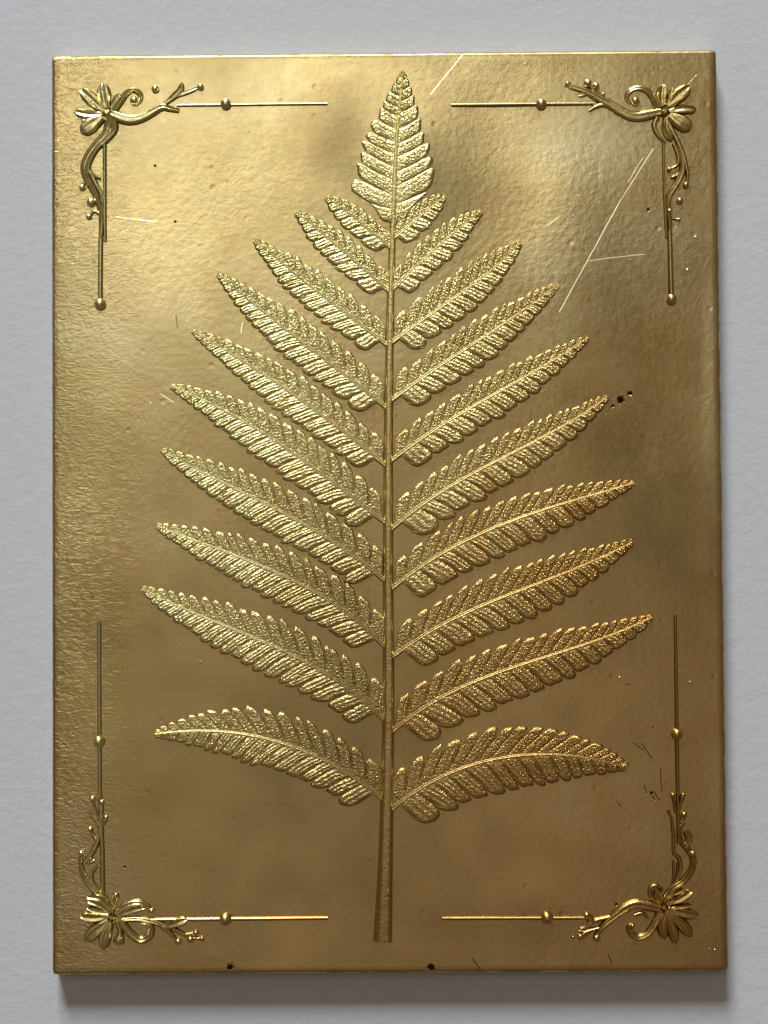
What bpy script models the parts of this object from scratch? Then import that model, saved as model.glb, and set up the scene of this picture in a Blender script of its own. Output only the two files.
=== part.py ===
"""A brass relief plaque: a fern frond and four corner ornaments on a plain plate.

The plaque lies on its back. The origin is the middle of the back face, +X runs to the
right of the picture, +Y to its top and +Z out of its face. Lengths are in metres.
Every relief piece is modelled round the level of its seat, fused with its neighbours
and then trimmed flat where it sits on the plate.
"""
import math

import bmesh
import bpy
from mathutils import Vector

MM = 0.001

# Plate
PLATE_WIDTH = 150 * MM
PLATE_HEIGHT = 206 * MM
PLATE_THICKNESS = 6 * MM
PLATE_EDGE_ROUND = 0.8 * MM
PLATE_EDGE_STEPS = 2

# Level of the flat underside of all the relief, a hair above the plate
SEAT_GAP = 0.3 * MM
SEAT = PLATE_THICKNESS + SEAT_GAP
ROOT_DEPTH = 0.5 * MM
ROOT_STEP = 0.02 * MM
# How far the axis of a round bar lies under the seat
AXIS_DROP = 0.03 * MM
WELD_DISTANCE = 0.01 * MM

# Frond: middle line of the stem and rachis from the cut end to the tip, in mm, with its width
RACHIS = [
    ((-1.6, -95.8), 3.7), ((-1.0, -82.1), 2.9), ((-0.4, -63.3), 2.4), ((0.1, -40.6), 2.2),
    ((0.2, -15.8), 1.9), ((0.5, 17.1), 1.6), ((1.1, 45.1), 1.4), ((1.9, 65.2), 1.2),
    ((2.8, 83.3), 0.9), ((4.3, 98.5), 0.6),
]
RACHIS_STEPS = 3
RACHIS_SIDES = 2

# Leaflets from the top pair down, on each side: height of the root and place of the tip
# in mm, the angles at which the rib leaves and arrives, and the number of lobes along one edge
LEFT_LEAFLETS = [
    (58.4, (-13.2, 70.2), 40, 34, 7), (48.5, (-19.9, 66.9), 42, 40, 9),
    (36.4, (-29.2, 60.6), 38, 42, 11), (22.3, (-37.4, 53.0), 40, 42, 13),
    (9.3, (-43.2, 40.2), 40, 30, 14), (-3.5, (-48.1, 27.9), 38, 22, 16),
    (-16.6, (-50.2, 13.5), 42, 30, 16), (-31.5, (-51.3, -3.4), 48, 22, 16),
    (-47.9, (-54.6, -17.4), 48, 28, 16), (-65.3, (-51.9, -49.7), 42, -8, 16),
]
RIGHT_LEAFLETS = [
    (60.6, (13.7, 70.2), 38, 36, 7), (48.8, (21.8, 67.0), 45, 38, 9),
    (36.9, (30.4, 59.5), 38, 46, 11), (23.9, (38.7, 50.1), 37, 38, 13),
    (10.3, (45.2, 38.0), 38, 34, 14), (-5.1, (49.4, 24.7), 42, 36, 16),
    (-18.4, (55.2, 5.5), 40, 16, 16), (-33.6, (54.6, -7.7), 38, 28, 16),
    (-50.3, (58.7, -24.5), 42, 26, 16), (-67.7, (52.7, -57.7), 42, -18, 16),
]
# Reach of the lobes to the lower and the upper side of each rib, in mm
LEFT_REACH = [(3.2, 2.7), (3.8, 3.1), (4.4, 3.8), (4.9, 4.4), (4.9, 4.2),
              (5.4, 4.9), (5.6, 5.0), (6.1, 5.1), (6.4, 5.5), (6.5, 5.8)]
RIGHT_REACH = [(3.0, 2.7), (3.8, 3.1), (4.7, 4.4), (5.0, 4.2), (5.1, 4.1),
               (6.0, 4.5), (6.6, 4.6), (6.7, 5.0), (7.2, 5.2), (7.8, 6.0)]
# The undivided tip of the frond is one more leaflet in line with the rachis
TIP_LEAFLET = (61.0, (4.4, 99.2), 85, 82, 14)
TIP_REACH = (10.2, 10.4)

RIB_HANDLE = 0.36
RIB_HEIGHT = 1.5 * MM
WEB_HEIGHT = 0.9 * MM
LOBE_HEIGHT = 1.15 * MM
LOBE_TIP_HEIGHT = 0.85 * MM
LOBE_LEAN = 46
ROOT_LOBE_SPREAD = 30
ROOT_LOBES_SHARE = 0.2
LOBE_CROWDING = 1.25
LOBE_WEB = 0.58
LOBE_SHOULDER = 0.86
LOBE_NARROWING = 0.16
STALK_SHARE = 0.03
STALK_WIDTH = 0.9 * MM
WIDEST_AT = 0.34
ROOT_WIDTH_SHARE = 0.86
TAPER_POWER = 0.72
SMALLEST_REACH = 0.35 * MM

# Ornaments: each stroke is a list of points in mm from the middle of the flower, a
# greatest width in mm and the way its width runs along it
PETAL = "petal"
STEM = "stem"
EVEN = "even"
BUD = "bud"
WIDTH_SHARES = {
    PETAL: (0.45, 0.9, 1.0, 0.2),
    STEM: (1.0, 0.95, 0.75, 0.5),
    EVEN: (1.0, 1.0, 1.0, 1.0),
    BUD: (0.4, 0.5, 0.8, 1.0),
}
ROD_WIDTH = 0.9
BEAD_WIDTH = 2.5
BEAD_LIFT = 0.12
BEAD_SIDES = 10
BEAD_RINGS = 6
STROKE_SIDES = 1
STROKE_STEPS = 2
ROD_STEPS = 1
ROD_POINTS = 3
FLOWER_HEART = 2.4

CORNERS = {
    "corner_ornament_top_left": {
        "centre": (-62.3, 89.7),
        "strokes": [
            ([(0, 0), (-2.5, 2.2), (-6.1, 5.4)], 2.0, PETAL),
            ([(-0.2, 0.4), (-0.9, 3.6), (-1.1, 6.7)], 2.4, PETAL),
            ([(-0.3, -0.2), (-3.8, -0.1), (-7.4, 0.2)], 1.9, PETAL),
            ([(-0.3, -0.5), (-3.2, -2.7), (-5.4, -4.2)], 2.6, BUD),
            ([(0, -0.6), (-0.5, -3.4), (-1.1, -5.4)], 2.0, PETAL),
            ([(0.4, 0.6), (1.6, 3.4), (2.5, 4.9)], 1.4, PETAL),
            ([(0.8, 0.4), (2.8, 2.7), (4.1, 4.5), (5.6, 5.0), (7.0, 4.2), (7.2, 3.0), (6.3, 2.3),
              (5.6, 3.0)], 1.5, STEM),
            ([(0.4, 0.1), (2.9, -0.7), (5.9, -1.3), (9.0, -0.2), (11.3, 1.1), (13.7, 1.8),
              (16.0, 0.7)], 2.2, STEM),
            ([(11.5, 1.1), (14.2, 2.9), (18.0, 4.9)], 1.4, PETAL),
            ([(16.5, 4.0), (18.7, 5.2), (21.0, 6.1)], 1.3, BUD),
            ([(12.8, 2.0), (14.7, 4.0), (16.0, 6.5)], 1.1, PETAL),
            ([(0.4, -0.3), (1.2, -2.5), (0.7, -4.7), (-1.6, -7.2), (-3.8, -9.6), (-4.9, -12.3),
              (-4.5, -15.0), (-2.9, -17.5), (-1.8, -19.9), (-1.4, -22.6), (-1.6, -29.1)], 2.2, STEM),
            ([(-3.9, -9.6), (-4.0, -11.9), (-3.2, -13.7), (-1.2, -14.6)], 1.0, BUD),
            ([(-4.1, -15.5), (-5.9, -16.6)], 1.3, BUD),
            ([(-2.5, -18.8), (-3.6, -19.9)], 1.8, BUD),
            ([(-1.6, -22.4), (-4.3, -23.3)], 1.3, BUD),
            ([(13.1, 1.8), (49.6, 1.8)], ROD_WIDTH, EVEN),
            ([(-0.7, -6.2), (-0.9, -29.1)], ROD_WIDTH, EVEN),
            ([(-1.6, -28.5), (-1.7, -42.1)], 1.1, EVEN),
        ],
        "beads": [(26.7, 1.8), (-1.7, -43.3)],
    },
    "corner_ornament_top_right": {
        "centre": (62.9, 88.8),
        "strokes": [
            ([(0, 0.3), (-0.2, 3.6), (0.1, 6.5)], 1.9, PETAL),
            ([(0.3, 0.3), (2.5, 3.1), (6.2, 5.8)], 2.5, PETAL),
            ([(0.2, 0.4), (1.2, 3.1), (2.1, 5.2)], 1.0, PETAL),
            ([(0.4, -0.1), (4.1, 0.2), (7.2, 0.4)], 2.0, PETAL),
            ([(0.4, -0.4), (3.6, -2.7), (5.1, -3.6)], 2.8, BUD),
            ([(0, -0.5), (0, -3.6), (0.8, -5.8)], 2.0, PETAL),
            ([(-0.4, -0.4), (-1.8, -3.1), (-1.4, -4.9), (0.2, -6.7)], 1.4, PETAL),
            ([(-0.8, 0.2), (-2.6, 2.7), (-4.2, 4.6), (-6.0, 5.2), (-7.6, 4.5), (-7.9, 3.1),
              (-7.0, 2.2), (-6.2, 2.9)], 1.5, STEM),
            ([(-0.4, 0.1), (-4.3, -0.4), (-7.0, -0.7), (-9.9, 0.4), (-12.6, 2.0), (-14.9, 2.0),
              (-16.7, 0.4)], 2.2, STEM),
            ([(-13.0, 2.0), (-15.7, 3.4), (-18.9, 4.5), (-21.8, 5.6)], 1.3, BUD),
            ([(-20.0, 4.9), (-21.6, 5.6), (-21.1, 7.2)], 1.2, PETAL),
            ([(-13.5, 2.5), (-15.5, 4.5), (-17.1, 6.5)], 1.3, BUD),
            ([(-14.2, 2.7), (-14.8, 4.9), (-15.3, 6.7)], 1.2, BUD),
            ([(-14.0, 2.5), (-17.1, 3.8), (-19.1, 4.0)], 1.0, PETAL),
            ([(0.4, -0.6), (2.0, -4.9), (3.5, -8.1), (4.4, -11.2), (3.9, -14.3), (2.3, -17.0),
              (0.9, -20.2), (0.7, -23.1), (0.8, -29.1)], 1.8, STEM),
            ([(3.6, -8.4), (5.0, -12.1), (5.2, -14.8), (4.6, -16.6)], 1.3, BUD),
            ([(4.2, -10.8), (3.0, -12.6), (1.0, -13.2)], 0.9, BUD),
            ([(4.1, -12.6), (3.0, -14.1), (1.2, -14.8)], 0.9, BUD),
            ([(0.7, -24.0), (2.2, -24.2), (3.8, -24.4)], 1.2, BUD),
            ([(-47.8, 2.1), (-13.6, 2.1)], ROD_WIDTH, EVEN),
            ([(-0.1, -6.3), (0.0, -19.7), (0.3, -28.5)], ROD_WIDTH, EVEN),
            ([(0.9, -28.4), (1.0, -41.5)], 1.0, EVEN),
        ],
        "beads": [(-27.7, 2.1), (1.1, -42.4)],
    },
    "corner_ornament_bottom_left": {
        "centre": (-61.6, -90.2),
        "strokes": [
            ([(-0.2, 0.4), (-2.7, 3.4), (-5.6, 4.3)], 1.8, PETAL),
            ([(-0.4, 0.2), (-3.3, 2.1), (-5.3, 2.7)], 1.2, PETAL),
            ([(-0.5, 0.1), (-4.0, 0.5), (-6.9, 1.0)], 2.0, PETAL),
            ([(-0.4, -0.3), (-3.3, -2.9), (-5.8, -5.2)], 2.5, PETAL),
            ([(-0.1, -0.5), (-1.6, -4.0), (-2.0, -6.7)], 2.2, PETAL),
            ([(0.2, -0.5), (1.3, -3.8), (1.8, -5.6)], 2.2, BUD),
            ([(0.1, 0.5), (0.7, 3.4), (0.9, 5.2)], 1.5, BUD),
            ([(0.5, 0.3), (3.6, 2.0), (6.2, 2.3), (8.9, 1.3)], 2.2, PETAL),
            ([(0.6, -0.2), (2.5, -2.9), (4.2, -4.9), (6.4, -5.7), (8.5, -4.9), (9.0, -3.1),
              (8.0, -1.6), (6.5, -1.2)], 1.3, STEM),
            ([(1.4, -0.2), (6.2, -0.7), (8.9, -1.1), (11.3, -2.0), (13.3, -3.1), (16.0, -4.3),
              (18.6, -4.0)], 1.6, STEM),
            ([(11.6, -2.0), (14.2, -2.2), (16.0, -0.9)], 1.7, BUD),
            ([(10.7, -1.9), (12.9, -3.8), (14.4, -5.6)], 1.2, BUD),
            ([(15.8, -4.2), (17.5, -5.4)], 1.3, BUD),
            ([(17.4, -4.4), (19.8, -4.9)], 1.2, BUD),
            ([(-0.3, 1.0), (-2.7, 4.9), (-4.9, 7.2), (-6.2, 9.6), (-6.7, 12.3), (-6.9, 14.1)], 1.4,
             EVEN),
            ([(-2.5, 4.9), (-4.4, 8.3), (-5.3, 11.0), (-4.9, 13.2), (-3.5, 15.5), (-2.9, 18.2)],
             1.2, STEM),
            ([(-2.2, 4.4), (-2.3, 12.8), (-2.5, 17.3), (-3.2, 20.6), (-5.1, 23.3)], 1.5, STEM),
            ([(-2.8, 17.0), (-4.4, 18.2), (-5.1, 19.3)], 1.1, BUD),
            ([(-3.1, 20.9), (-4.0, 24.0), (-4.4, 26.2)], 1.1, BUD),
            ([(-3.0, 21.2), (-2.5, 24.0), (-2.2, 25.6)], 1.1, BUD),
            ([(-2.5, 17.3), (-1.8, 19.9), (-0.9, 21.7)], 1.2, BUD),
            ([(1.4, -0.3), (4.0, -0.6), (47.9, -0.3)], ROD_WIDTH, EVEN),
            ([(-2.8, 65.6), (-3.0, 21.4)], ROD_WIDTH, EVEN),
        ],
        "beads": [(25.1, -0.4), (-2.9, 38.8)],
    },
    "corner_ornament_bottom_right": {
        "centre": (60.8, -88.8),
        "strokes": [
            ([(-0.2, 0.4), (-1.6, 2.7), (-2.0, 4.4)], 2.2, BUD),
            ([(0.4, 0.3), (3.6, 1.8), (6.3, 3.4)], 2.0, PETAL),
            ([(0.5, 0), (4.4, -0.7), (7.3, -1.3)], 2.2, PETAL),
            ([(0.4, -0.3), (3.5, -3.4), (5.9, -6.1)], 2.4, PETAL),
            ([(0.2, -0.5), (1.3, -4.5), (2.4, -7.6)], 2.2, PETAL),
            ([(-0.1, -0.5), (-0.5, -4.3), (0.4, -7.0)], 2.2, PETAL),
            ([(-0.4, -0.4), (-2.3, -3.6), (-4.1, -5.6), (-6.3, -6.2), (-7.8, -5.2), (-7.8, -3.9),
              (-6.7, -3.4)], 1.4, STEM),
            ([(-0.5, 0.1), (-4.2, 0.4), (-6.7, 0.6), (-9.3, 0.0), (-11.6, -1.6), (-13.8, -3.4),
              (-15.4, -6.0)], 2.0, STEM),
            ([(-9.0, 0.0), (-6.7, -0.6), (-4.8, -1.2), (-3.6, -2.5)], 0.9, EVEN),
            ([(-12.5, -2.4), (-15.1, -3.2), (-16.9, -2.0)], 1.6, BUD),
            ([(-13.4, -3.2), (-16.5, -5.4), (-18.3, -6.3)], 1.4, BUD),
            ([(-14.8, -4.4), (-18.7, -4.6)], 1.1, PETAL),
            ([(0.3, 0.5), (2.3, 3.6), (4.5, 5.6), (5.8, 8.1), (5.8, 10.3), (4.6, 13.0), (3.7, 15.7),
              (3.8, 18.4), (4.0, 22.0), (4.3, 24.9)], 1.9, STEM),
            ([(1.6, 2.8), (3.1, 6.3), (3.4, 9.4), (2.8, 11.7), (2.4, 14.8), (2.0, 18.4),
              (1.3, 21.7)], 1.2, STEM),
            ([(5.9, 9.6), (7.0, 11.2), (6.8, 12.3)], 1.2, BUD),
            ([(4.5, 13.2), (5.3, 15.2), (4.6, 17.9)], 1.8, PETAL),
            ([(3.8, 18.4), (4.7, 20.2), (4.7, 21.3)], 1.1, BUD),
            ([(4.0, 22.2), (3.1, 23.8), (2.7, 25.1)], 1.1, BUD),
            ([(-49.1, -1.9), (-14.0, -1.8)], ROD_WIDTH, EVEN),
            ([(3.3, 65.7), (3.4, 22.0)], ROD_WIDTH, EVEN),
        ],
        "beads": [(-25.8, -1.9), (3.3, 38.3)],
    },
}

PLATE_BRASS = (0.62, 0.47, 0.20, 1.0)
PLATE_ROUGHNESS = 0.38
RELIEF_BRASS = (0.72, 0.55, 0.25, 1.0)
RELIEF_ROUGHNESS = 0.32


def clear_scene():
    for thing in list(bpy.data.objects):
        bpy.data.objects.remove(thing, do_unlink=True)


def make_collection(name):
    collection = bpy.data.collections.new(name)
    bpy.context.scene.collection.children.link(collection)
    return collection


def make_brass(name, colour, roughness):
    material = bpy.data.materials.new(name)
    material.use_nodes = True
    shader = material.node_tree.nodes["Principled BSDF"]
    shader.inputs["Base Color"].default_value = colour
    shader.inputs["Metallic"].default_value = 1.0
    shader.inputs["Roughness"].default_value = roughness
    return material


def place_mesh(name, mesh, collection):
    thing = bpy.data.objects.new(name, mesh)
    collection.objects.link(thing)
    return thing


def settle(thing):
    """Put the evaluated mesh in the object in place of its modifiers."""
    bpy.context.view_layer.update()
    graph = bpy.context.evaluated_depsgraph_get()
    mesh = bpy.data.meshes.new_from_object(thing.evaluated_get(graph))
    thing.modifiers.clear()
    thing.data = mesh


def make_box(name, low, high, collection):
    """A box between two corners, from a unit cube."""
    form = bmesh.new()
    bmesh.ops.create_cube(form, size=1.0)
    middle = (Vector(low) + Vector(high)) / 2
    bmesh.ops.scale(form, vec=Vector(high) - Vector(low), verts=form.verts)
    bmesh.ops.translate(form, vec=middle, verts=form.verts)
    mesh = bpy.data.meshes.new(name)
    form.to_mesh(mesh)
    form.free()
    return place_mesh(name, mesh, collection)


def make_plate(collection, material):
    """The flat plate, with all its edges rounded over."""
    low = (-PLATE_WIDTH / 2, -PLATE_HEIGHT / 2, 0)
    high = (PLATE_WIDTH / 2, PLATE_HEIGHT / 2, PLATE_THICKNESS)
    plate = make_box("plate", low, high, collection)
    rounding = plate.modifiers.new("rounded edges", "BEVEL")
    rounding.width = PLATE_EDGE_ROUND
    rounding.segments = PLATE_EDGE_STEPS
    plate.data.materials.append(material)
    return plate


def rachis_x(height):
    """Where the middle of the rachis lies at a height on the plate, in mm."""
    for ((low_x, low_y), _), ((high_x, high_y), _) in zip(RACHIS, RACHIS[1:]):
        if height <= high_y:
            return low_x + (high_x - low_x) * (height - low_y) / (high_y - low_y)
    return RACHIS[-1][0][0]


def rib_line(root, tip, leave, arrive, side):
    """The rib's curve as a function of the share of the way along it, in metres."""
    start = Vector(root) * MM
    end = Vector(tip) * MM
    reach = (end - start).length * RIB_HANDLE
    out = Vector((side * math.cos(math.radians(leave)), math.sin(math.radians(leave))))
    home = Vector((side * math.cos(math.radians(arrive)), math.sin(math.radians(arrive))))
    first = start + out * reach
    second = end - home * reach

    def point(share):
        rest = 1 - share
        return (start * rest ** 3 + first * 3 * rest ** 2 * share
                + second * 3 * rest * share ** 2 + end * share ** 3)
    return point


def full_reach(share, straight):
    """Width of the leaflet at a share of its length, as a share of its widest."""
    if straight:
        return 1 - share
    if share < WIDEST_AT:
        return ROOT_WIDTH_SHARE + (1 - ROOT_WIDTH_SHARE) * share / WIDEST_AT
    return ((1 - share) / (1 - WIDEST_AT)) ** TAPER_POWER


def lobe_outline(point, share, next_share, reach, side, straight, lower):
    """Corners of one lobe in plan: both notches and the three points round its end."""
    start = point(share)
    end = point(next_share)
    along = (end - start).normalized()
    across = Vector((-along.y, along.x)) * side
    spread = ROOT_LOBE_SPREAD * max(0, 1 - share / ROOT_LOBES_SHARE) if lower else 0
    lean = math.radians(LOBE_LEAN + spread)
    axis = along * math.cos(lean) + across * math.sin(lean)
    width = max(reach * full_reach(share, straight), SMALLEST_REACH) / math.sin(lean)
    next_width = max(reach * full_reach(next_share, straight), SMALLEST_REACH) / math.sin(lean)
    notch = start + axis * width * LOBE_WEB
    next_notch = end + axis * next_width * LOBE_WEB
    inward = (end - start) * LOBE_NARROWING
    low = start + axis * width * LOBE_SHOULDER + inward
    high = end + axis * next_width * LOBE_SHOULDER - inward
    tip = (start + end) / 2 + axis * width
    return notch, low, tip, high, next_notch


def make_leaflet(name, leaflet, reaches, side, depth, collection, straight=False):
    """One arched blade cut into lobes as far as its rib, running down below the seat."""
    root_height, tip, leave, arrive, count = leaflet
    point = rib_line((rachis_x(root_height), root_height), tip, leave, arrive, side)
    form = bmesh.new()

    def raised(place, height):
        return form.verts.new((place.x, place.y, SEAT + height))

    shares = [STALK_SHARE + (1 - STALK_SHARE) * (1 - (1 - step / count) ** LOBE_CROWDING)
              for step in range(count + 1)]
    rib = [raised(point(share), RIB_HEIGHT - (RIB_HEIGHT - LOBE_HEIGHT) * share)
           for share in shares]
    root = raised(point(0), RIB_HEIGHT)
    stalk_side = (point(STALK_SHARE) - point(0)).orthogonal().normalized() * STALK_WIDTH / 2
    for edge_side, reach in ((-side, reaches[0]), (side, reaches[1])):
        lower = edge_side == -side and not straight
        first = lobe_outline(point, shares[0], shares[1], reach * MM, edge_side, straight,
                             lower)[0]
        notch_before = raised(first, WEB_HEIGHT)
        foot = raised(point(0) + stalk_side * edge_side, WEB_HEIGHT)
        form.faces.new([root, foot, notch_before, rib[0]])
        for step in range(count):
            places = lobe_outline(point, shares[step], shares[step + 1], reach * MM, edge_side,
                                  straight, lower)
            _, low, end, high, next_notch = places
            notch_after = raised(next_notch, WEB_HEIGHT)
            form.faces.new([notch_before, raised(low, LOBE_HEIGHT), raised(end, LOBE_TIP_HEIGHT),
                            raised(high, LOBE_HEIGHT), notch_after])
            form.faces.new([rib[step], notch_before, notch_after, rib[step + 1]])
            notch_before = notch_after
    bmesh.ops.triangulate(form, faces=form.faces)
    skirt = bmesh.ops.extrude_face_region(form, geom=form.faces[:], use_keep_orig=True)
    floor = [item for item in skirt["geom"] if isinstance(item, bmesh.types.BMVert)]
    for vertex in floor:
        vertex.co.z = SEAT - depth
    bmesh.ops.recalc_face_normals(form, faces=form.faces)
    if form.calc_volume(signed=True) < 0:
        bmesh.ops.reverse_faces(form, faces=form.faces)
    mesh = bpy.data.meshes.new(name)
    form.to_mesh(mesh)
    form.free()
    return place_mesh(name, mesh, collection)


def width_share(kind, share):
    """Read a stroke's width along it from its four given shares."""
    shares = WIDTH_SHARES[kind]
    place = share * (len(shares) - 1)
    step = min(int(place), len(shares) - 2)
    return shares[step] + (shares[step + 1] - shares[step]) * (place - step)


def make_stroke(name, points, radii, steps, sides, collection):
    """A round bar of changing width through the points, its axis a hair under the seat."""
    curve = bpy.data.curves.new(name, "CURVE")
    curve.dimensions = "3D"
    curve.bevel_depth = 1.0
    curve.bevel_resolution = sides
    curve.use_fill_caps = True
    curve.resolution_u = steps
    spline = curve.splines.new("BEZIER")
    spline.bezier_points.add(len(points) - 1)
    for knot, (x, y), radius in zip(spline.bezier_points, points, radii):
        knot.co = (x * MM, y * MM, SEAT - AXIS_DROP)
        knot.radius = radius
        knot.handle_left_type = "AUTO"
        knot.handle_right_type = "AUTO"
    bar = bpy.data.objects.new(name, curve)
    collection.objects.link(bar)
    bpy.context.view_layer.update()
    graph = bpy.context.evaluated_depsgraph_get()
    mesh = bpy.data.meshes.new_from_object(bar.evaluated_get(graph))
    form = bmesh.new()
    form.from_mesh(mesh)
    bmesh.ops.remove_doubles(form, verts=form.verts, dist=WELD_DISTANCE)
    bmesh.ops.recalc_face_normals(form, faces=form.faces)
    form.to_mesh(mesh)
    form.free()
    bpy.data.objects.remove(bar)
    return place_mesh(name, mesh, collection)


def make_bead(name, place, width, collection):
    """A ball standing a little proud of the seat."""
    form = bmesh.new()
    bmesh.ops.create_uvsphere(form, u_segments=BEAD_SIDES, v_segments=BEAD_RINGS,
                              radius=width * MM / 2)
    middle = (place[0] * MM, place[1] * MM, SEAT + BEAD_LIFT * width * MM)
    bmesh.ops.translate(form, vec=middle, verts=form.verts)
    mesh = bpy.data.meshes.new(name)
    form.to_mesh(mesh)
    form.free()
    return place_mesh(name, mesh, collection)


def fuse(name, pieces, bed, model, material):
    """Join the pieces to one body and trim it flat along its seat."""
    first = pieces.objects[0]
    pieces.objects.unlink(first)
    model.objects.link(first)
    first.name = name
    join = first.modifiers.new("join", "BOOLEAN")
    join.operation = "UNION"
    join.operand_type = "COLLECTION"
    join.collection = pieces
    join.solver = "MANIFOLD"
    settle(first)
    trim = first.modifiers.new("trim", "BOOLEAN")
    trim.operation = "DIFFERENCE"
    trim.object = bed
    trim.solver = "MANIFOLD"
    settle(first)
    for piece in list(pieces.objects):
        bpy.data.objects.remove(piece, do_unlink=True)
    bpy.data.collections.remove(pieces)
    first.data.materials.clear()
    first.data.materials.append(material)
    return first


def make_frond(model, bed, material):
    """Stem, rachis, ten pairs of leaflets and the tip, as one body."""
    pieces = make_collection("frond_pieces")
    points = [place for place, width in RACHIS]
    radii = [width * MM / 2 for place, width in RACHIS]
    make_stroke("rachis", points, radii, RACHIS_STEPS, RACHIS_SIDES, pieces)
    depth = ROOT_DEPTH
    sides = ((-1, LEFT_LEAFLETS, LEFT_REACH), (1, RIGHT_LEAFLETS, RIGHT_REACH))
    for side, leaflets, reaches in sides:
        for number, (leaflet, reach) in enumerate(zip(leaflets, reaches), 1):
            depth += ROOT_STEP
            make_leaflet(f"leaflet_{side}_{number}", leaflet, reach, side, depth, pieces)
    depth += ROOT_STEP
    make_leaflet("tip", TIP_LEAFLET, TIP_REACH, 1, depth, pieces, straight=True)
    return fuse("fern_frond", pieces, bed, model, material)


def make_corner(name, corner, model, bed, material):
    """One corner's flower, scrolls, buds, rods and beads, as one body."""
    pieces = make_collection(name + "_pieces")
    centre_x, centre_y = corner["centre"]
    make_bead("heart", corner["centre"], FLOWER_HEART, pieces)
    for number, (stroke, width, kind) in enumerate(corner["strokes"]):
        points = [(centre_x + x, centre_y + y) for x, y in stroke]
        last = len(points) - 1
        radii = [width * MM / 2 * width_share(kind, step / last) for step in range(len(points))]
        steps = ROD_STEPS if kind == EVEN and len(points) <= ROD_POINTS else STROKE_STEPS
        make_stroke(f"stroke_{number}", points, radii, steps, STROKE_SIDES, pieces)
    for number, (x, y) in enumerate(corner["beads"]):
        make_bead(f"bead_{number}", (centre_x + x, centre_y + y), BEAD_WIDTH, pieces)
    return fuse(name, pieces, bed, model, material)


clear_scene()
model = make_collection("fern_relief_plaque")
cutters = make_collection("cutters")
plate_brass = make_brass("plate brass", PLATE_BRASS, PLATE_ROUGHNESS)
relief_brass = make_brass("relief brass", RELIEF_BRASS, RELIEF_ROUGHNESS)
make_plate(model, plate_brass)
bed = make_box("bed", (-PLATE_WIDTH, -PLATE_HEIGHT, -PLATE_THICKNESS),
               (PLATE_WIDTH, PLATE_HEIGHT, SEAT), cutters)
bed.hide_render = True
bed.display_type = "WIRE"
make_frond(model, bed, relief_brass)
for corner_name, corner in CORNERS.items():
    make_corner(corner_name, corner, model, bed, relief_brass)
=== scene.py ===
import math
import random

import bpy
import numpy as np
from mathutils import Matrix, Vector, noise


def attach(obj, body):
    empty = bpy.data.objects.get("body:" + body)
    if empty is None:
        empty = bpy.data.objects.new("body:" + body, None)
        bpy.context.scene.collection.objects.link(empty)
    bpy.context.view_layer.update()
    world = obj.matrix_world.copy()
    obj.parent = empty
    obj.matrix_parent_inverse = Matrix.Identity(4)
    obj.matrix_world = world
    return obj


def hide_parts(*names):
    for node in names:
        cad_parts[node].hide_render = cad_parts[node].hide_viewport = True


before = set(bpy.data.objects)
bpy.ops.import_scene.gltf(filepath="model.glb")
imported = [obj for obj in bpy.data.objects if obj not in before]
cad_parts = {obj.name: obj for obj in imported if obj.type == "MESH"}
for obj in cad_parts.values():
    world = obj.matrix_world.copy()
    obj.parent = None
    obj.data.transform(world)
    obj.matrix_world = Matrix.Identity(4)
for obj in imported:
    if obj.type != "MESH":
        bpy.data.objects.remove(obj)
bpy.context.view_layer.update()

MM = 0.001

# Camera
# A hand-held camera about 40 cm over the plaque, leaning back by two degrees and
# turned a little, so that the plate's foot is slightly wider than its head.
CAMERA_PLACE = (2.07 * MM, -13.62 * MM, 405.1 * MM)
CAMERA_TURN = (1.858, 0.40, -0.395)
CAMERA_LENS = 62.8

bpy.ops.object.select_all(action="DESELECT")
bpy.ops.object.camera_add(location=CAMERA_PLACE, rotation=[math.radians(turn) for turn in CAMERA_TURN])
camera = bpy.context.object
camera.data.lens = CAMERA_LENS
camera.data.sensor_width = 36
camera.data.clip_start = 0.01
bpy.context.scene.camera = camera
bpy.context.scene.view_settings.view_transform = "Standard"

# Plate
# The back plate of the plaque: cast and rolled brass, 150 by 206 by 6 mm, with its edges
# rounded over by hand. Its face is not quite flat: soft swellings and dents bend the light,
# and it has a grained skin with pits, dark specks and a few long scratches.
PLATE_WIDTH = 150
PLATE_HEIGHT = 206
PLATE_FACE = 6.0
PLATE_ROUND = 0.8
PLATE_CORNER = 0.7
FACE_CELLS = (148, 204)
EDGE_STEPS = 4
# Soft swellings (up) and dents (down) of the face: x, y, radius along x and y, height, all in mm
FACE_SWELLINGS = [
    (-36, 62, 20, 16, -0.16), (-60, 20, 22, 40, 0.14), (8, 66, 15, 20, 0.26), (27, 78, 12, 20, -0.28),
    (40, 58, 11, 26, 0.2), (62, 30, 14, 20, -0.24), (70, -8, 10, 20, 0.16), (-45, -40, 26, 30, 0.12),
    (40, -60, 30, 22, -0.12), (-8, -60, 24, 30, 0.1), (15, 20, 24, 24, -0.1), (-66, 88, 10, 14, -0.1),
]
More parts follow.
